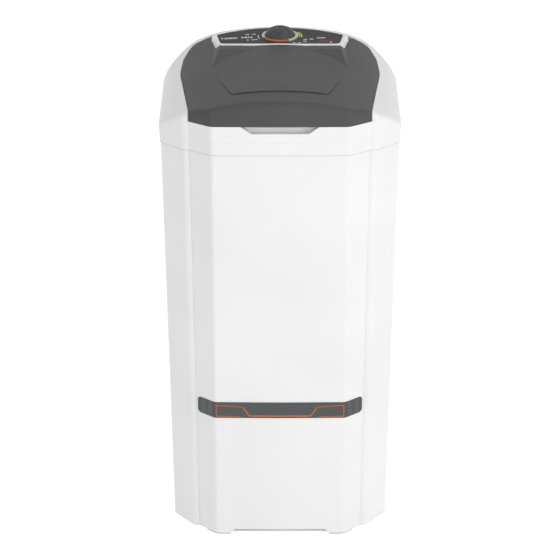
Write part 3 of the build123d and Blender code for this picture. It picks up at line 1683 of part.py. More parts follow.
def make_drain_pipe():
    """Elbow from the tub's spout to a hose spigot outside the back."""
    turn_y = drain_y + drain_bend
    turn_z = drain_z + drain_bend
    wall_y = rear_wall_y(drain_z)
    pipe = cylinder(drain_radius, turn_z - 0.01, drain_top(), drain_x, drain_y)
    collar = cylinder(drain_radius + 3, drain_top() - 10, drain_top() + 8, drain_x, drain_y)
    collar -= cylinder(drain_radius + snug, drain_top(), drain_top() + 9, drain_x, drain_y)
    centre = Pos(drain_x, turn_y, turn_z) * Rot(0, 90, 0)
    bend = centre * elbow(drain_radius)
    tail = rod_y(drain_radius, turn_y - 0.01, wall_y + drain_nut_depth + 3, drain_x, drain_z)
    spigot = rod_y(spigot_radius, wall_y, rear_reach, drain_x, drain_z)
    spigot = chamfer(spigot.edges().group_by(Axis.Y)[-1], 1)
    stop = rod_y(drain_radius + 6, wall_y - 30, wall_y + 5, drain_x, drain_z)
    stop &= tapered(drain_z - 40, drain_z + 40, cabinet_wall + seat_gap)
    stop -= tapered(drain_z - 50, drain_z + 50, cabinet_wall + 4)
    pipe = pipe + collar + bend + tail + spigot + stop
    cuts = [cylinder(drain_bore, turn_z - 0.01, drain_top() + 1, drain_x, drain_y)]
    cuts.append(centre * elbow(drain_bore))
    cuts.append(rod_y(drain_bore, turn_y - 0.01, wall_y - 5, drain_x, drain_z))
    cuts.append(rod_y(spigot_radius - 2.5, wall_y - 6, rear_reach + 5, drain_x, drain_z))
    return pipe - cuts


def elbow(radius):
    """Quarter ring in the local XY plane, from -Y of its centre round to +X."""
    ring = revolve(Pos(0, -drain_bend, 0) * (Rot(0, 90, 0) * Circle(radius).face()),
                   Axis.Z, 90)
    return ring


def make_drain_nut():
    """Ring nut that pulls the elbow against the back wall."""
    wall_y = rear_wall_y(drain_z)
    nut = rod_y(drain_radius + 7, wall_y - 20, wall_y + drain_nut_depth, drain_x, drain_z)
    nut -= tapered(drain_z - 40, drain_z + 40, -seat_gap)
    cuts = [rod_y(drain_radius + snug, wall_y - 21, wall_y + 30, drain_x, drain_z)]
    for i in range(12):
        notch = Rot(0, 30 * i, 0) * (Pos(drain_radius + 7, 0, 0) * Box(2.4, 60, 4))
        cuts.append(Pos(drain_x, wall_y, drain_z) * notch)
    return nut - cuts


def make_cord_gland():
    """Snap-in bush for the cord, flanged outside and barbed inside."""
    wall_y = rear_wall_y(cord_z)
    flange = rod_y(gland_flange_radius, wall_y - 20, wall_y + 4, cord_x, cord_z)
    flange -= tapered(cord_z - 30, cord_z + 30, -seat_gap)
    neck = rod_y(gland_neck_radius, wall_y - 16, wall_y + 3, cord_x, cord_z)
    snout = rod_y(gland_neck_radius, wall_y + 2, wall_y + 16, cord_x, cord_z)
    barb = rod_y(gland_neck_radius + 1.5, wall_y - 16, wall_y - 2, cord_x, cord_z)
    barb &= tapered(cord_z - 30, cord_z + 30, cabinet_wall + seat_gap)
    gland = flange + neck + snout + barb
    rings = [rod_y(gland_neck_radius + 1, wall_y + y, wall_y + y + 1.6, cord_x, cord_z)
             - rod_y(gland_neck_radius - 1.2, wall_y, wall_y + 30, cord_x, cord_z)
             for y in (6, 9.5, 13)]
    return gland - rings - rod_y(cord_bore, wall_y - 30, wall_y + 30, cord_x, cord_z)


# Lint filter in the tub

def filter_face_x():
    """Outer face of the cassette, clear of the curved wall at its edges."""
    radius = tub_radius(filter_z - filter_height / 2)
    return -sqrt(radius ** 2 - (filter_width / 2 + 8) ** 2) + 4


def make_filter_guide():
    """Channel on the left wall that holds the cassette, open at its top."""
    x0 = filter_face_x()
    x1 = x0 + filter_thickness
    low = filter_z - filter_height / 2
    high = filter_z + filter_height / 2
    half = filter_width / 2
    body = block(-tub_top_radius - 5, x1 + 3.3, tub_y - half - 6, tub_y + half + 6,
                 low - 10, high - 12)
    body = fillet(body.edges().filter_by(Axis.X).group_by(Axis.Z)[0], 8)
    body &= tub_form(0, tub_floor_z, seam_z)
    cuts = [block(x0 - clearance, x1 + clearance, tub_y - half - clearance,
                  tub_y + half + clearance, low - clearance, high + 20)]
    inner = half - guide_lip
    cuts.append(block(x1, x1 + 20, tub_y - inner, tub_y + inner, low + guide_lip, high + 20))
    cuts.append(block(-tub_top_radius - 20, x0, tub_y - inner, tub_y + inner,
                      low + guide_lip, high + 20))
    return body - cuts


def make_filter_frame():
    """Rounded cassette frame with a pull tab on its top edge."""
    x0 = filter_face_x()
    x1 = x0 + filter_thickness
    low = filter_z - filter_height / 2
    high = filter_z + filter_height / 2
    half = filter_width / 2
    frame = block(x0, x1, tub_y - half, tub_y + half, low, high)
    inner = block(x0 - 1, x1 + 1, tub_y - half + filter_wall, tub_y + half - filter_wall,
                  low + filter_wall, high - filter_wall)
    frame -= fillet(inner.edges().filter_by(Axis.X), 5)
    groove = block(mesh_x() - mesh_thickness / 2, mesh_x() + mesh_thickness / 2,
                   tub_y - half + filter_wall - 2, tub_y + half - filter_wall + 2,
                   low + filter_wall - 2, high - filter_wall + 2)
    tab = block(x0 + 1.5, x1 - 1.5, tub_y - 22, tub_y + 22, high - 1, high + 12)
    tab = fillet(tab.edges().filter_by(Axis.X).group_by(Axis.Z)[-1], 6)
    return frame - groove + tab


def mesh_x():
    return filter_face_x() + filter_thickness / 2


def make_filter_mesh():
    """Plate of square openings held in the groove of the cassette frame."""
    low = filter_z - filter_height / 2 + filter_wall - 2
    high = filter_z + filter_height / 2 - filter_wall + 2
    half = filter_width / 2 - filter_wall + 2
    plate = block(mesh_x() - mesh_thickness / 2, mesh_x() + mesh_thickness / 2,
                  tub_y - half, tub_y + half, low, high)
    pitch_y = 2 * (half - 4) / filter_columns
    pitch_z = (high - low - 8) / filter_rows
    cuts = []
    for i in range(filter_columns):
        for j in range(filter_rows):
            y = tub_y - half + 4 + pitch_y * (i + 0.5)
            z = low + 4 + pitch_z * (j + 0.5)
            cuts.append(block(mesh_x() - 3, mesh_x() + 3, y - pitch_y * 0.36, y + pitch_y * 0.36,
                              z - pitch_z * 0.36, z + pitch_z * 0.36))
    return plate - cuts


def make_frame_screws():
    """Screws up through the cabinet ledge and the tub flange into the top frame."""
    low = seam_z - ledge_drop - ledge_depth
    screw = Rot(180, 0, 0) * pan_screw(frame_screw_radius, frame_screw_length,
                                       frame_screw_radius * 2, 2.2)
    return group([Pos(x, y, low) * screw for x, y in frame_screw_places()])


PARTS = {
    "cabinet_front": make_cabinet_front,
    "cabinet_left": make_cabinet_left,
    "cabinet_right": make_cabinet_right,
    "cabinet_rear": make_cabinet_rear,
    "rear_cover": make_rear_cover,
    "cover_screws": make_cover_screws,
    "trim_strip": make_trim_strip,
    "base_frame": make_base_frame,
    "feet": make_feet,
    "foot_screws": make_foot_screws,
    "top_frame": make_top_frame,
    "frame_screws": make_frame_screws,
    "lid": make_lid,
    "lid_pins": make_lid_pins,
    "lid_bumpers": make_lid_bumpers,
    "console_panel": make_console_panel,
    "dial_ring": make_dial_ring,
    "timer_knob": make_timer_knob,
    "timer_shaft": make_timer_shaft,
    "timer_body": make_timer_body,
    "timer_screws": make_timer_screws,
    "tub": make_tub,
    "hub_gasket": make_hub_gasket,
    "hub_nut": make_hub_nut,
    "bracket_plate": make_bracket_plate,
    "plate_bolts": make_plate_bolts,
    "bearing_housing": make_bearing_housing,
    "flange_bolts": make_flange_bolts,
    "shaft_bushes": make_shaft_bushes,
    "shaft_seal": make_shaft_seal,
    "drive_shaft": make_drive_shaft,
    "shaft_spacer": make_shaft_spacer,
    "driven_pulley": make_driven_pulley,
    "pulley_nut": make_pulley_nut,
    "drive_belt": make_drive_belt,
    "pulsator": make_pulsator,
    "pulsator_screw": make_pulsator_screw,
    "pulsator_cap": make_pulsator_cap,
    "motor_lower_shield": make_motor_lower_shield,
    "motor_upper_shield": make_motor_upper_shield,
    "motor_stator": make_motor_stator,
    "motor_windings": make_motor_windings,
    "motor_rotor": make_motor_rotor,
    "motor_shaft": make_motor_shaft,
    "motor_pulley": make_motor_pulley,
    "pulley_clip": make_pulley_clip,
    "cooling_fan": make_cooling_fan,
    "motor_grommets": make_motor_grommets,
    "motor_spacers": make_motor_spacers,
    "motor_bolts": make_motor_bolts,
    "capacitor": make_capacitor,
    "capacitor_nut": make_capacitor_nut,
    "drain_pipe": make_drain_pipe,
    "drain_nut": make_drain_nut,
    "cord_gland": make_cord_gland,
    "filter_guide": make_filter_guide,
    "filter_frame": make_filter_frame,
    "filter_mesh": make_filter_mesh,
}

for name, make in PARTS.items():
    save(make(), name)
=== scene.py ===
import math

import bpy
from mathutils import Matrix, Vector


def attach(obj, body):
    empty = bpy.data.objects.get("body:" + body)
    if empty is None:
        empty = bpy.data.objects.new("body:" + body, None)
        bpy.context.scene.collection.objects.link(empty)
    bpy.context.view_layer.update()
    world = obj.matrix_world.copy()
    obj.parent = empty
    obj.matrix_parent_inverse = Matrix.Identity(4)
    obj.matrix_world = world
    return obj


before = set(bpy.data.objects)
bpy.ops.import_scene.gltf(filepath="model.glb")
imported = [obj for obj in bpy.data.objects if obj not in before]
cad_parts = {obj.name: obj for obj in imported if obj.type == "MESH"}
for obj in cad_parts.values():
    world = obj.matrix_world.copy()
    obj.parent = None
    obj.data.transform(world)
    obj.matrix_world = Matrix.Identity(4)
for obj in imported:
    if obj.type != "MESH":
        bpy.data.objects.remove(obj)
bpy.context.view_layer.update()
bpy.ops.object.select_all(action="DESELECT")


# Cabinet panels, base frame and top frame: white ABS, injection moulded and glossy, in
# one tone. The panels lap at their edges, and the two frames hold them together. The
# skin is a little wavy, so that highlights are soft at their edges.

def linear(code):
    """An sRGB hex colour as the linear colour that a shader takes."""
    parts = [int(code[i:i + 2], 16) / 255 for i in (1, 3, 5)]
    light = [c / 12.92 if c <= 0.04045 else ((c + 0.055) / 1.055) ** 2.4 for c in parts]
    return (*light, 1.0)


def finish(name, colour, roughness, **inputs):
    """A new material, named for the real finish, and its shader."""
    material = bpy.data.materials.new(name)
    material.use_nodes = True
    shader = material.node_tree.nodes["Principled BSDF"]
    shader.inputs["Base Color"].default_value = linear(colour)
    shader.inputs["Roughness"].default_value = roughness
    for socket, value in inputs.items():
        shader.inputs[socket.replace("_", " ")].default_value = value
    return material, shader


def add_node(shader, kind, links=None, values=None, **settings):
    """Adds a node beside a shader, sets it and links its inputs."""
    tree = shader.id_data
    node = tree.nodes.new(kind)
    for name, value in settings.items():
        setattr(node, name, value)
    for socket, value in (values or {}).items():
        node.inputs[socket].default_value = value
    for socket, source in (links or {}).items():
        tree.links.new(source, node.inputs[socket])
    return node


def join(shader, source, socket):
    """Links a node's output to one of the shader's inputs."""
    shader.id_data.links.new(source, shader.inputs[socket])


def moulded(shader, grain_mm, height_mm, edge_mm=0.0):
    """Bump of a moulded skin with that grain, and edges rounded by that radius."""
    place = add_node(shader, "ShaderNodeTexCoord")
    grain = add_node(shader, "ShaderNodeTexNoise", {"Vector": place.outputs["Object"]},
                     {"Scale": 1000 / grain_mm, "Detail": 3.0, "Roughness": 0.55})
    bump = add_node(shader, "ShaderNodeBump", {"Height": grain.outputs["Fac"]},
                    {"Strength": 0.35, "Distance": height_mm / 1000})
    if edge_mm:
        edge = add_node(shader, "ShaderNodeBevel", values={"Radius": edge_mm / 1000}, samples=6)
        bump.id_data.links.new(edge.outputs["Normal"], bump.inputs["Normal"])
    join(shader, bump.outputs["Normal"], "Normal")
    return place


def mottled(shader, place, light, dark, patch_mm):
    """Slight change of tone over the skin, between two near colours."""
    cloud = add_node(shader, "ShaderNodeTexNoise", {"Vector": place.outputs["Object"]},
                     {"Scale": 1000 / patch_mm, "Detail": 2.0})
    ramp = add_node(shader, "ShaderNodeValToRGB", {"Fac": cloud.outputs["Fac"]})
    ends = ramp.color_ramp.elements
    ends[0].position, ends[0].color = 0.35, linear(dark)
    ends[1].position, ends[1].color = 0.65, linear(light)
    join(shader, ramp.outputs["Color"], "Base Color")


def dress(material, *names):
    """Gives a finish to CAD nodes."""
    for name in names:
        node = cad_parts[name]
        node.data.materials.clear()
        node.data.materials.append(material)


white_abs, shader = finish("white_abs_glossy", "#f0f0f0", roughness=0.3)
place = moulded(shader, grain_mm=26, height_mm=0.12, edge_mm=0.8)
mottled(shader, place, light="#f2f2f2", dark="#eeeeee", patch_mm=220)
dress(white_abs, "cabinet_front", "cabinet_left", "cabinet_right", "cabinet_rear",
      "base_frame", "top_frame")


# Seam under the top frame: a grey skin that paints the thin soft shadow along its lower
# edge, where it stands on the cabinet. It follows the edge all the way round.

def thicken(piece, thickness_mm):
    """Gives a thin piece a wall, built outwards from its face."""
    wall = piece.modifiers.new("wall", "SOLIDIFY")
    wall.thickness = thickness_mm / 1000
    wall.offset = 1
    bpy.context.view_layer.objects.active = piece
    bpy.ops.object.modifier_apply(modifier=wall.name)


def skin_over(name, node, cuts, thickness_mm):
    """A thin skin over the part of a CAD node that lies behind each cutting plane,
    given by a point on it and its direction."""
    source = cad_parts[node]
    piece = source.copy()
    piece.data = source.data.copy()
    piece.name = piece.data.name = name
    piece.parent = None
    bpy.context.scene.collection.objects.link(piece)
    bpy.ops.object.select_all(action="DESELECT")
    bpy.context.view_layer.objects.active = piece
    piece.select_set(True)
    bpy.ops.object.mode_set(mode="EDIT")
    bpy.ops.mesh.select_all(action="SELECT")
    bpy.ops.mesh.remove_doubles(threshold=0.000001)
    for point, outward in cuts:
        bpy.ops.mesh.select_all(action="SELECT")
        bpy.ops.mesh.bisect(plane_co=point, plane_no=outward, clear_outer=True)
    bpy.ops.object.mode_set(mode="OBJECT")
    piece.data.materials.clear()
    thicken(piece, thickness_mm)
    return piece


seam_top = (0, 0, 0.829)
seam_bottom = (0, 0, 0.8279)
upward, downward = (0, 0, 1), (0, 0, -1)
seam_shadow, shader = finish("grey_seam_shadow", "#d0d0d0", roughness=0.6)
moulded(shader, grain_mm=0.8, height_mm=0.02)
frame_seam_shadow = skin_over("frame_seam_shadow", "top_frame",
                       [(seam_top, upward), (seam_bottom, downward)], thickness_mm=0.06)
frame_seam_shadow.data.materials.append(seam_shadow)
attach(frame_seam_shadow, "machine")


# Feet: pads of pale grey rubber, moulded and matt, each screwed to the base frame
# under a corner of the cabinet.

foot_rubber, shader = finish("pale_grey_rubber_moulded", "#cbcbcb", roughness=0.8)
place = moulded(shader, grain_mm=1.4, height_mm=0.1)
mottled(shader, place, light="#cfcfcf", dark="#c5c5c5", patch_mm=25)
dress(foot_rubber, "feet")


# Service cover at the back, and the drain elbow with its nut: light grey ABS, moulded
# with a satin skin. The cover is screwed on, and the nut holds the elbow in the wall.

grey_abs, shader = finish("light_grey_abs_satin", "#c9cbcc", roughness=0.48)
place = moulded(shader, grain_mm=1.2, height_mm=0.08, edge_mm=0.5)
mottled(shader, place, light="#cdcfd0", dark="#c5c7c8", patch_mm=90)
dress(grey_abs, "rear_cover", "drain_pipe", "drain_nut")


# Tub and the channel of the lint filter: natural white polypropylene, injection
# moulded, soft looking, with a waxy sheen. The tub hangs by its rim from the screws
# that join the top frame to the cabinet.

tub_pp, shader = finish("natural_polypropylene_tub", "#dfe3e6", roughness=0.36,
                        Subsurface_Weight=0.05)
place = moulded(shader, grain_mm=8, height_mm=0.1, edge_mm=0.8)
mottled(shader, place, light="#e3e7ea", dark="#d9dee1", patch_mm=160)
dress(tub_pp, "tub", "filter_guide")


# Lint filter: a frame and its net, moulded of blue-grey polypropylene. It slides up
# out of its channel to be emptied.

filter_pp, shader = finish("blue_grey_polypropylene", "#8fa3b5", roughness=0.42)
place = moulded(shader, grain_mm=2, height_mm=0.06)
mottled(shader, place, light="#95a9bb", dark="#889caf", patch_mm=40)
dress(filter_pp, "filter_frame", "filter_mesh")


# Pulsator, the ring nut under it and the timer's housing: pale grey polypropylene,
# moulded, with a satin skin.

pale_pp, shader = finish("pale_grey_polypropylene", "#c8ced3", roughness=0.4)
place = moulded(shader, grain_mm=3, height_mm=0.08, edge_mm=0.6)
mottled(shader, place, light="#ccd2d7", dark="#c3c9ce", patch_mm=120)
dress(pale_pp, "pulsator", "hub_nut", "timer_body")


# Bearing housing, pulleys and motor shields: aluminium, die cast and left bare, with
# a grainy skin that is duller in patches.

cast_patch_mm = 22
cast, shader = finish("aluminium_die_cast", "#a9abad", roughness=0.5, Metallic=1.0)
place = moulded(shader, grain_mm=1.1, height_mm=0.12)
patch = add_node(shader, "ShaderNodeTexNoise", {"Vector": place.outputs["Object"]},
                 {"Scale": 1000 / cast_patch_mm, "Detail": 4.0})
dull = add_node(shader, "ShaderNodeMapRange", {"Value": patch.outputs["Fac"]},
                {"To Min": 0.4, "To Max": 0.64})
join(shader, dull.outputs["Result"], "Roughness")
dress(cast, "bearing_housing", "driven_pulley", "motor_pulley", "motor_lower_shield",
      "motor_upper_shield")


# Shaft bushes: sintered bronze, soaked in oil and dull, pressed into the bearing
# housing.

bronze, shader = finish("sintered_bronze", "#a07a44", roughness=0.5, Metallic=1.0)
moulded(shader, grain_mm=0.8, height_mm=0.1)
dress(bronze, "shaft_bushes")


# Bracket plate: folded steel sheet, hot-dip galvanised, with the flaky spangle of its
# zinc. It is bolted under the tub and carries the motor.

spangle_mm = 9
galvanised, shader = finish("galvanised_steel_sheet", "#9da1a4", roughness=0.42,
                            Metallic=1.0)
place = add_node(shader, "ShaderNodeTexCoord")
spangle = add_node(shader, "ShaderNodeTexVoronoi", {"Vector": place.outputs["Object"]},
                   {"Scale": 1000 / spangle_mm})
shade = add_node(shader, "ShaderNodeMapRange", {"Value": spangle.outputs["Color"]},
                 {"To Min": 0.3, "To Max": 0.55})
join(shader, shade.outputs["Result"], "Roughness")
dress(galvanised, "bracket_plate")


# Motor stack and rotor: electrical steel, stamped in sheets of half a millimetre,
# stacked and varnished. The stacking lines are drawn 3 mm apart so that they show.

band_spacing = 2 * math.pi / 20              # of a wave texture at a scale of 1, in metres
sheet_mm, sheet_step_mm = 3.0, 0.3
stack, shader = finish("laminated_electrical_steel", "#6b6c6e", roughness=0.45,
                       Metallic=1.0)
place = add_node(shader, "ShaderNodeTexCoord")
sheets = add_node(shader, "ShaderNodeTexWave", {"Vector": place.outputs["Object"]},
                  {"Scale": 1000 * band_spacing / sheet_mm, "Distortion": 0.0},
                  bands_direction="Z")
bump = add_node(shader, "ShaderNodeBump", {"Height": sheets.outputs["Fac"]},
                {"Strength": 0.6, "Distance": sheet_step_mm / 1000})
join(shader, bump.outputs["Normal"], "Normal")
dress(stack, "motor_stator", "motor_rotor")


# Motor windings: enamelled copper wire, wound in bundles and dipped in varnish. The
# strands are drawn 2.3 mm thick so that they show.

strand_mm, strand_height_mm = 2.27, 0.5
slanting_spacing = 2 * band_spacing / math.sqrt(3)
copper, shader = finish("enamelled_copper_winding", "#a4522a", roughness=0.38,
                        Metallic=0.6, Coat_Weight=0.5)
place = add_node(shader, "ShaderNodeTexCoord")
strands = add_node(shader, "ShaderNodeTexWave", {"Vector": place.outputs["Object"]},
                   {"Scale": 1000 * slanting_spacing / strand_mm, "Distortion": 2.0,
                    "Detail": 1.0}, bands_direction="DIAGONAL")
bump = add_node(shader, "ShaderNodeBump", {"Height": strands.outputs["Fac"]},
                {"Strength": 0.7, "Distance": strand_height_mm / 1000})
join(shader, bump.outputs["Normal"], "Normal")
dress(copper, "motor_windings")


# Grommets, seals, gasket, belt and lid stops: black rubber, moulded and matt, with
# a fine dusty skin that takes almost no highlight.

rubber, shader = finish("black_rubber_moulded", "#1d1d1e", roughness=0.82)
place = moulded(shader, grain_mm=1.4, height_mm=0.1)
mottled(shader, place, light="#222223", dark="#171718", patch_mm=25)
dress(rubber, "motor_grommets", "hub_gasket", "shaft_seal", "drive_belt", "lid_bumpers")


# Cooling fan, cord bush and capacitor can: black polypropylene, injection moulded,
# with a fine even grain and a low sheen.

black_pp, shader = finish("black_polypropylene_moulded", "#232425", roughness=0.55)
place = moulded(shader, grain_mm=0.9, height_mm=0.06)
mottled(shader, place, light="#27282a", dark="#1e1f20", patch_mm=60)
dress(black_pp, "cooling_fan", "cord_gland", "capacitor")


# Screws, bolts, shafts, pins and spacers: steel, turned or headed and zinc plated,
# with faint tool lines that break up the shine.

tool_line_mm = 1.1
zinc, shader = finish("zinc_plated_steel", "#b9bbbd", roughness=0.34, Metallic=1.0)
place = add_node(shader, "ShaderNodeTexCoord")
lines = add_node(shader, "ShaderNodeTexNoise", {"Vector": place.outputs["Object"]},
                 {"Scale": 1000 / tool_line_mm, "Detail": 4.0})
worn = add_node(shader, "ShaderNodeMapRange", {"Value": lines.outputs["Fac"]},
                {"To Min": 0.26, "To Max": 0.44})
join(shader, worn.outputs["Result"], "Roughness")
dress(zinc, "cover_screws", "foot_screws", "frame_screws", "timer_screws", "lid_pins",
      "plate_bolts", "flange_bolts", "drive_shaft", "shaft_spacer", "pulley_nut",
      "pulsator_screw", "motor_shaft", "motor_spacers", "motor_bolts", "pulley_clip",
      "capacitor_nut", "timer_shaft")


# Lid: charcoal ABS, injection moulded in one piece with its window, semi-glossy and
# in one tone. It turns on two pins at the back.

lid_abs, shader = finish("charcoal_abs_semigloss", "#565656", roughness=0.34,
                         Specular_IOR_Level=0.08)
place = moulded(shader, grain_mm=22, height_mm=0.1, edge_mm=0.9)
mottled(shader, place, light="#585858", dark="#535353", patch_mm=180)
dress(lid_abs, "lid")


# Seam of the lid's window: a dark strip that paints the shade in the thin line where the
# raised form meets the lid, along its front edge and part of the way up its sides.

def lay_on(piece, target, axis, lift_mm):
    """Projects a flat piece along an axis on to a CAD node, and lifts it by a little."""
    wrap = piece.modifiers.new("lay", "SHRINKWRAP")
    wrap.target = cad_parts[target]
    wrap.wrap_method = "PROJECT"
    setattr(wrap, "use_project_" + axis, True)
    wrap.use_negative_direction = True
    wrap.use_positive_direction = True
    wrap.offset = lift_mm / 1000
    bpy.context.view_layer.objects.active = piece
    bpy.ops.object.modifier_apply(modifier=wrap.name)


def thin_bar(start, end, width, level, cuts, facing="front"):
    """A flat bar between two points, in millimetres. In the front plane they are
    (x, z) and the level is y, and facing up they are (x, y) and the level is z."""
    first, second = ((a + b) / 2 for a, b in zip(start, end))
    lean = math.atan2(end[1] - start[1], end[0] - start[0])
    if facing == "front":
        middle, turn = (first, level, second), (math.radians(90), -lean, 0)
    else:
        middle, turn = (first, second, level), (0, 0, lean)
    bpy.ops.mesh.primitive_plane_add(size=1, location=Vector(middle) / 1000, rotation=turn)
    bar = bpy.context.object
    bar.scale = (math.dist(start, end) / 1000, width / 1000, 1)
    bpy.ops.object.transform_apply(location=True, rotation=True, scale=True)
    bpy.ops.object.mode_set(mode="EDIT")
    bpy.ops.mesh.select_all(action="SELECT")
    bpy.ops.mesh.subdivide(number_cuts=cuts)
    bpy.ops.object.mode_set(mode="OBJECT")
    return bar


def merge(name, shapes):
    """Joins flat shapes into one piece."""
    bpy.ops.object.select_all(action="DESELECT")
    for shape in shapes:
        shape.select_set(True)
    bpy.context.view_layer.objects.active = shapes[0]
    bpy.ops.object.join()
    piece = bpy.context.object
    piece.name = piece.data.name = name
    return piece


window_corners = [(-129, -88), (-96.5, -188.5), (96.5, -188.5), (119, -108)]
window_level = 990
seam_width = 1.1
seam_shade, shader = finish("dark_seam_shadow", "#2c2c2d", roughness=0.6)
moulded(shader, grain_mm=0.8, height_mm=0.02)
window_seam_shade = merge("window_seam_shade", [
    thin_bar(start, end, seam_width, window_level, cuts=40, facing="up")
    for start, end in zip(window_corners, window_corners[1:])])
lay_on(window_seam_shade, "lid", "z", lift_mm=0.05)
thicken(window_seam_shade, 0.1)
window_seam_shade.data.materials.append(seam_shade)
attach(window_seam_shade, "lid")


# Console panel: dark grey film, printed and stuck on a moulded plate, satin, with a
# very fine even grain.

panel_film, shader = finish("dark_printed_film_satin", "#404040", roughness=0.45,
                            Specular_IOR_Level=0.12)
place = moulded(shader, grain_mm=1.0, height_mm=0.03)
mottled(shader, place, light="#424242", dark="#3e3e3e", patch_mm=70)
dress(panel_film, "console_panel")


# Dial ring: ABS, moulded and sprayed in satin silver, seated on the panel round the
# timer's knob.

silver, shader = finish("satin_silver_spray", "#cfd0d1", roughness=0.3, Metallic=0.35)
moulded(shader, grain_mm=1.0, height_mm=0.02, edge_mm=0.4)
dress(silver, "dial_ring")


# Timer knob and pulsator cap: charcoal ABS, moulded, with a fine satin texture. The
# knob is pushed on the timer's spindle.

knob_abs, shader = finish("charcoal_abs_satin", "#525252", roughness=0.4,
                          Specular_IOR_Level=0.1)
place = moulded(shader, grain_mm=0.8, height_mm=0.05, edge_mm=0.8)
mottled(shader, place, light="#555555", dark="#4f4f4f", patch_mm=30)
dress(knob_abs, "timer_knob", "pulsator_cap")


# Print round the dial: a fine arc on the left, two yellow-green arcs on the right,
# and plain numbers and words beside them, all screen printed on the film.

dial_middle = (0, 145)
print_level = 1010
arc_steps = 20
bolder_mm = 0.3


def arc_band(radii, angles):
    """A flat band bent round the dial's middle, in millimetres and in degrees from
    +X: an edge laid across it at its first angle, and spun to its last."""
    first, last = (math.radians(angle) for angle in angles)
    middle = Vector((*dial_middle, print_level)) / 1000
    bpy.ops.mesh.primitive_plane_add(size=1)
    band = bpy.context.object
    bpy.ops.object.mode_set(mode="EDIT")
    bpy.ops.transform.resize(value=(1, 0, 1))
    bpy.ops.mesh.remove_doubles()
    bpy.ops.object.mode_set(mode="OBJECT")
    band.scale.x = (radii[1] - radii[0]) / 1000
    band.rotation_euler.z = first
    band.location = middle + Vector((math.cos(first), math.sin(first), 0)) * sum(radii) / 2000
    bpy.ops.object.transform_apply(location=True, rotation=True, scale=True)
    bpy.ops.object.mode_set(mode="EDIT")
    bpy.ops.mesh.select_all(action="SELECT")
    bpy.ops.mesh.spin(steps=arc_steps, angle=last - first, center=middle, axis=(0, 0, -1))
    bpy.ops.mesh.select_all(action="SELECT")
    bpy.ops.mesh.normals_make_consistent(inside=False)
    bpy.ops.object.mode_set(mode="OBJECT")
    return band


def label(words, x, up, size, lean):
    """Flat words centred at x and that far up the panel from the dial's middle."""
    place = (x / 1000, (dial_middle[1] + up) / 1000, print_level / 1000)
    bpy.ops.object.text_add(location=place, rotation=(0, 0, math.radians(lean)))
    text = bpy.context.object
    text.data.body = words
    text.data.size = size / 1000
    text.data.offset = bolder_mm / 1000
    text.data.align_x = "CENTER"
    text.data.align_y = "CENTER"
    bpy.ops.object.convert(target="MESH")
    text = bpy.context.object
    bpy.ops.object.transform_apply(location=True, rotation=True, scale=True)
    return text


def printed(name, shapes, target, ink):
    """Joins flat shapes, lays them on a CAD node and gives them an ink."""
    piece = merge(name, shapes)
    lay_on(piece, target, "z", lift_mm=0.04)
    thicken(piece, 0.1)
    piece.data.materials.clear()
    piece.data.materials.append(ink)
    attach(piece, "machine")


def screen_ink(name, colour, roughness):
    """An ink with a very fine grain."""
    ink, shader = finish(name, colour, roughness)
    moulded(shader, grain_mm=0.8, height_mm=0.01)
    return ink


dial_words = [                               # words, x, distance up, size and lean
    ("TIMER  MIN", -92, -12, 13.5, 9),
    ("10  15", -63, 11, 9, 9),
    ("5  ON", -59, -23, 8.5, 12),
    ("20  25", 60, -20, 8.5, 10),
    ("30", 52, -33, 8, 4),
    ("35  40", 35, -41, 7, -2),
    ("OFF", 87, -11, 11, 0),
    ("0", 107, -37, 10, -4),
]
white_ink = screen_ink("white_screen_print", "#e2e2e2", roughness=0.5)
left_arc = arc_band(radii=(45.5, 47), angles=(172, 202))
printed("dial_print", [left_arc] + [label(*row) for row in dial_words],
        "console_panel", white_ink)

red_ink = screen_ink("red_screen_print", "#aa4f48", roughness=0.5)
printed("stop_print", [label("STOP", 92, -31, 9, -3)], "console_panel", red_ink)

green_ink = screen_ink("yellow_green_screen_print", "#c6d02c", roughness=0.45)
inner_arc = arc_band(radii=(40.2, 42.8), angles=(-6, 42))
outer_arc = arc_band(radii=(44.4, 47.6), angles=(-8, 36))
printed("range_print", [inner_arc, outer_arc], "console_panel", green_ink)


# Orange mark of the dial ring: a coat of ink sprayed over the front of the ring, between
# two angles about its middle, from the panel upwards.

mark_start, mark_end = 204, 300
ring_foot = (0, 0.145, 0.97835)
into_panel = (0, 0.1127, -0.9936)
orange_ink = screen_ink("orange_screen_print", "#bb6048", roughness=0.45)
mark_cuts = [(ring_foot, (math.cos(turn), math.sin(turn), 0))
             for turn in (math.radians(mark_start - 90), math.radians(mark_end + 90))]
mark_cuts.append((ring_foot, into_panel))
ring_print = skin_over("ring_print", "dial_ring", mark_cuts, thickness_mm=0.08)
ring_print.data.materials.append(orange_ink)
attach(ring_print, "machine")


# Trim strip: dark grey film on a moulded plate, plain in the middle and with a
# diagonal woven look past the creases of the cabinet. The weave's squares are drawn
# 3 mm wide so that they show.

weave_square_mm = 3.03
weave_start_mm = 132                         # from the machine's middle
film_grey = "#414244"
trim_film, shader = finish("dark_grey_film_lacquered", film_grey, roughness=0.36)
place = moulded(shader, grain_mm=1.0, height_mm=0.02)
turned = add_node(shader, "ShaderNodeMapping", {"Vector": place.outputs["Object"]},
                  {"Rotation": (0.0, math.radians(45), 0.0)})
weave = add_node(shader, "ShaderNodeTexChecker", {"Vector": turned.outputs["Vector"]},
                 {"Scale": 1000 / weave_square_mm, "Color1": linear("#4a4b4f"),
                  "Color2": linear("#232427")})
across = add_node(shader, "ShaderNodeSeparateXYZ", {"Vector": place.outputs["Object"]})
reach = add_node(shader, "ShaderNodeMath", {0: across.outputs["X"]}, operation="ABSOLUTE")
at_end = add_node(shader, "ShaderNodeMath", {0: reach.outputs["Value"]},
                  {1: weave_start_mm / 1000}, operation="GREATER_THAN")
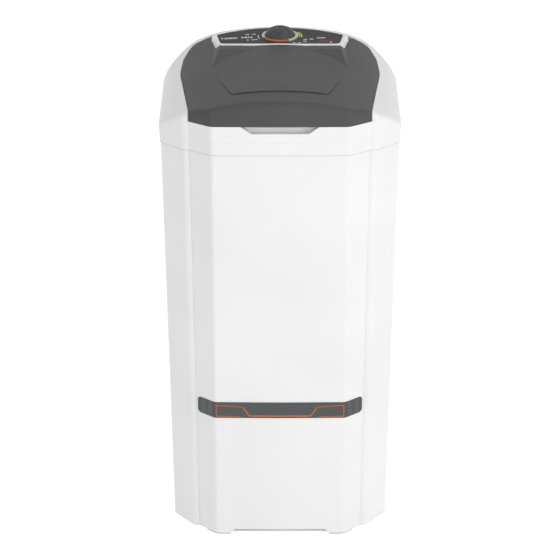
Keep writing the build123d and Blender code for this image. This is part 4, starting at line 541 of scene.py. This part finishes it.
# Of a colour mix's sockets, inputs 6 and 7 are its two colours and output 2 the result
film = add_node(shader, "ShaderNodeMix",
                {"Factor": at_end.outputs["Value"], 7: weave.outputs["Color"]},
                {6: linear(film_grey)}, data_type="RGBA")
join(shader, film.outputs[2], "Base Color")
dress(trim_film, "trim_strip")


# Pin-stripe of the trim strip: a thin orange line printed round the strip's middle,
# heavier along its lower edge. It is drawn as flat bars laid on the strip.

stripe_level = -262.0
stripe_foot = ((-64, 270.6), (64, 270.6), 3.0)
half_stripe = [                              # start, end and width, right of the middle
    ((131, 269), (131, 294.4), 1.5),
    ((131, 293.8), (76, 290.4), 1.5),
    ((76.6, 291), (62.6, 270), 2.2),
    ((131, 269.6), (80, 269.2), 1.5),
]
stripe_ink, shader = finish("orange_printed_ink", "#c0642a", roughness=0.42)
moulded(shader, grain_mm=0.8, height_mm=0.02)
bars = [thin_bar(*stripe_foot, stripe_level, cuts=12)]
for side in (-1, 1):
    for start, end, width in half_stripe:
        bars.append(thin_bar((side * start[0], start[1]), (side * end[0], end[1]),
                             width, stripe_level, cuts=6))
trim_stripe = merge("trim_stripe", bars)
lay_on(trim_stripe, "trim_strip", "y", lift_mm=0.15)
thicken(trim_stripe, 0.15)
trim_stripe.data.materials.append(stripe_ink)
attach(trim_stripe, "machine")


# Floor: a plain pale sheet, half a millimetre under the feet. It keeps the object's
# shadow, and adds a little light of its own where the camera or a reflection sees it,
# so that it reads as white.

paper_glow = 0.8
bpy.ops.mesh.primitive_plane_add(size=60, location=(0, 0, -0.0005))
floor = bpy.context.object
floor.name = "studio_floor"
paper, shader = finish("white_paper_floor", "#f2f2f2", roughness=0.9)
rays = add_node(shader, "ShaderNodeLightPath")
shown = add_node(shader, "ShaderNodeMath",
                 {0: rays.outputs["Is Camera Ray"], 1: rays.outputs["Is Glossy Ray"]},
                 operation="MAXIMUM")
glow = add_node(shader, "ShaderNodeMath", {0: shown.outputs["Value"]}, {1: paper_glow},
                operation="MULTIPLY")
shader.inputs["Emission Color"].default_value = (1, 1, 1, 1)
join(shader, glow.outputs["Value"], "Emission Strength")
floor.data.materials.append(paper)


# Studio: a white surround and five large soft lamps, the strongest to the right of
# the camera. The one behind lights the back alone, for views from there.

surround_light, surround_seen = 0.62, 1.0
world = bpy.data.worlds.new("studio")
bpy.context.scene.world = world
world.use_nodes = True
sky = world.node_tree.nodes["Background"]
sky.inputs["Color"].default_value = (1, 1, 1, 1)
rays = add_node(sky, "ShaderNodeLightPath")
direct = add_node(sky, "ShaderNodeMapRange", {"Value": rays.outputs["Is Camera Ray"]},
                  {"To Min": surround_light, "To Max": surround_seen})
join(sky, direct.outputs["Result"], "Strength")


def lamp(name, place, size, power, aim=(0, 0, 0.5)):
    """A rectangular soft lamp that faces a point of the object."""
    bpy.ops.object.light_add(type="AREA", location=place)
    light = bpy.context.object
    light.name = name
    light.data.shape = "RECTANGLE"
    light.data.size, light.data.size_y = size
    light.data.energy = power
    toward = Vector(aim) - Vector(place)
    light.rotation_euler = toward.to_track_quat("-Z", "Y").to_euler()


lamp("key", (2.6, -2.4, 1.7), size=(1.8, 2.4), power=36)
lamp("fill", (-2.8, -2.6, 1.6), size=(1.8, 2.2), power=9)
lamp("front", (0.0, -4.2, 1.2), size=(2.4, 1.8), power=19)
lamp("top", (0.2, 0.6, 3.2), size=(2.4, 2.0), power=5, aim=(0, 0, 0.8))
lamp("back", (0.0, 3.6, 0.5), size=(2.6, 0.8), power=14)


# Camera: a long lens at the photograph's height and angle, looking slightly down at
# the front.

camera_place = (0, -4.4297, 2.0071)
camera_tilt = math.radians(71)
bpy.ops.object.camera_add(location=camera_place, rotation=(camera_tilt, 0, 0))
camera = bpy.context.object
camera.data.lens = 141.43
camera.data.sensor_width = 36
camera.data.sensor_fit = "HORIZONTAL"
camera.data.clip_end = 200
bpy.context.scene.camera = camera
bpy.context.scene.view_settings.view_transform = "Standard"
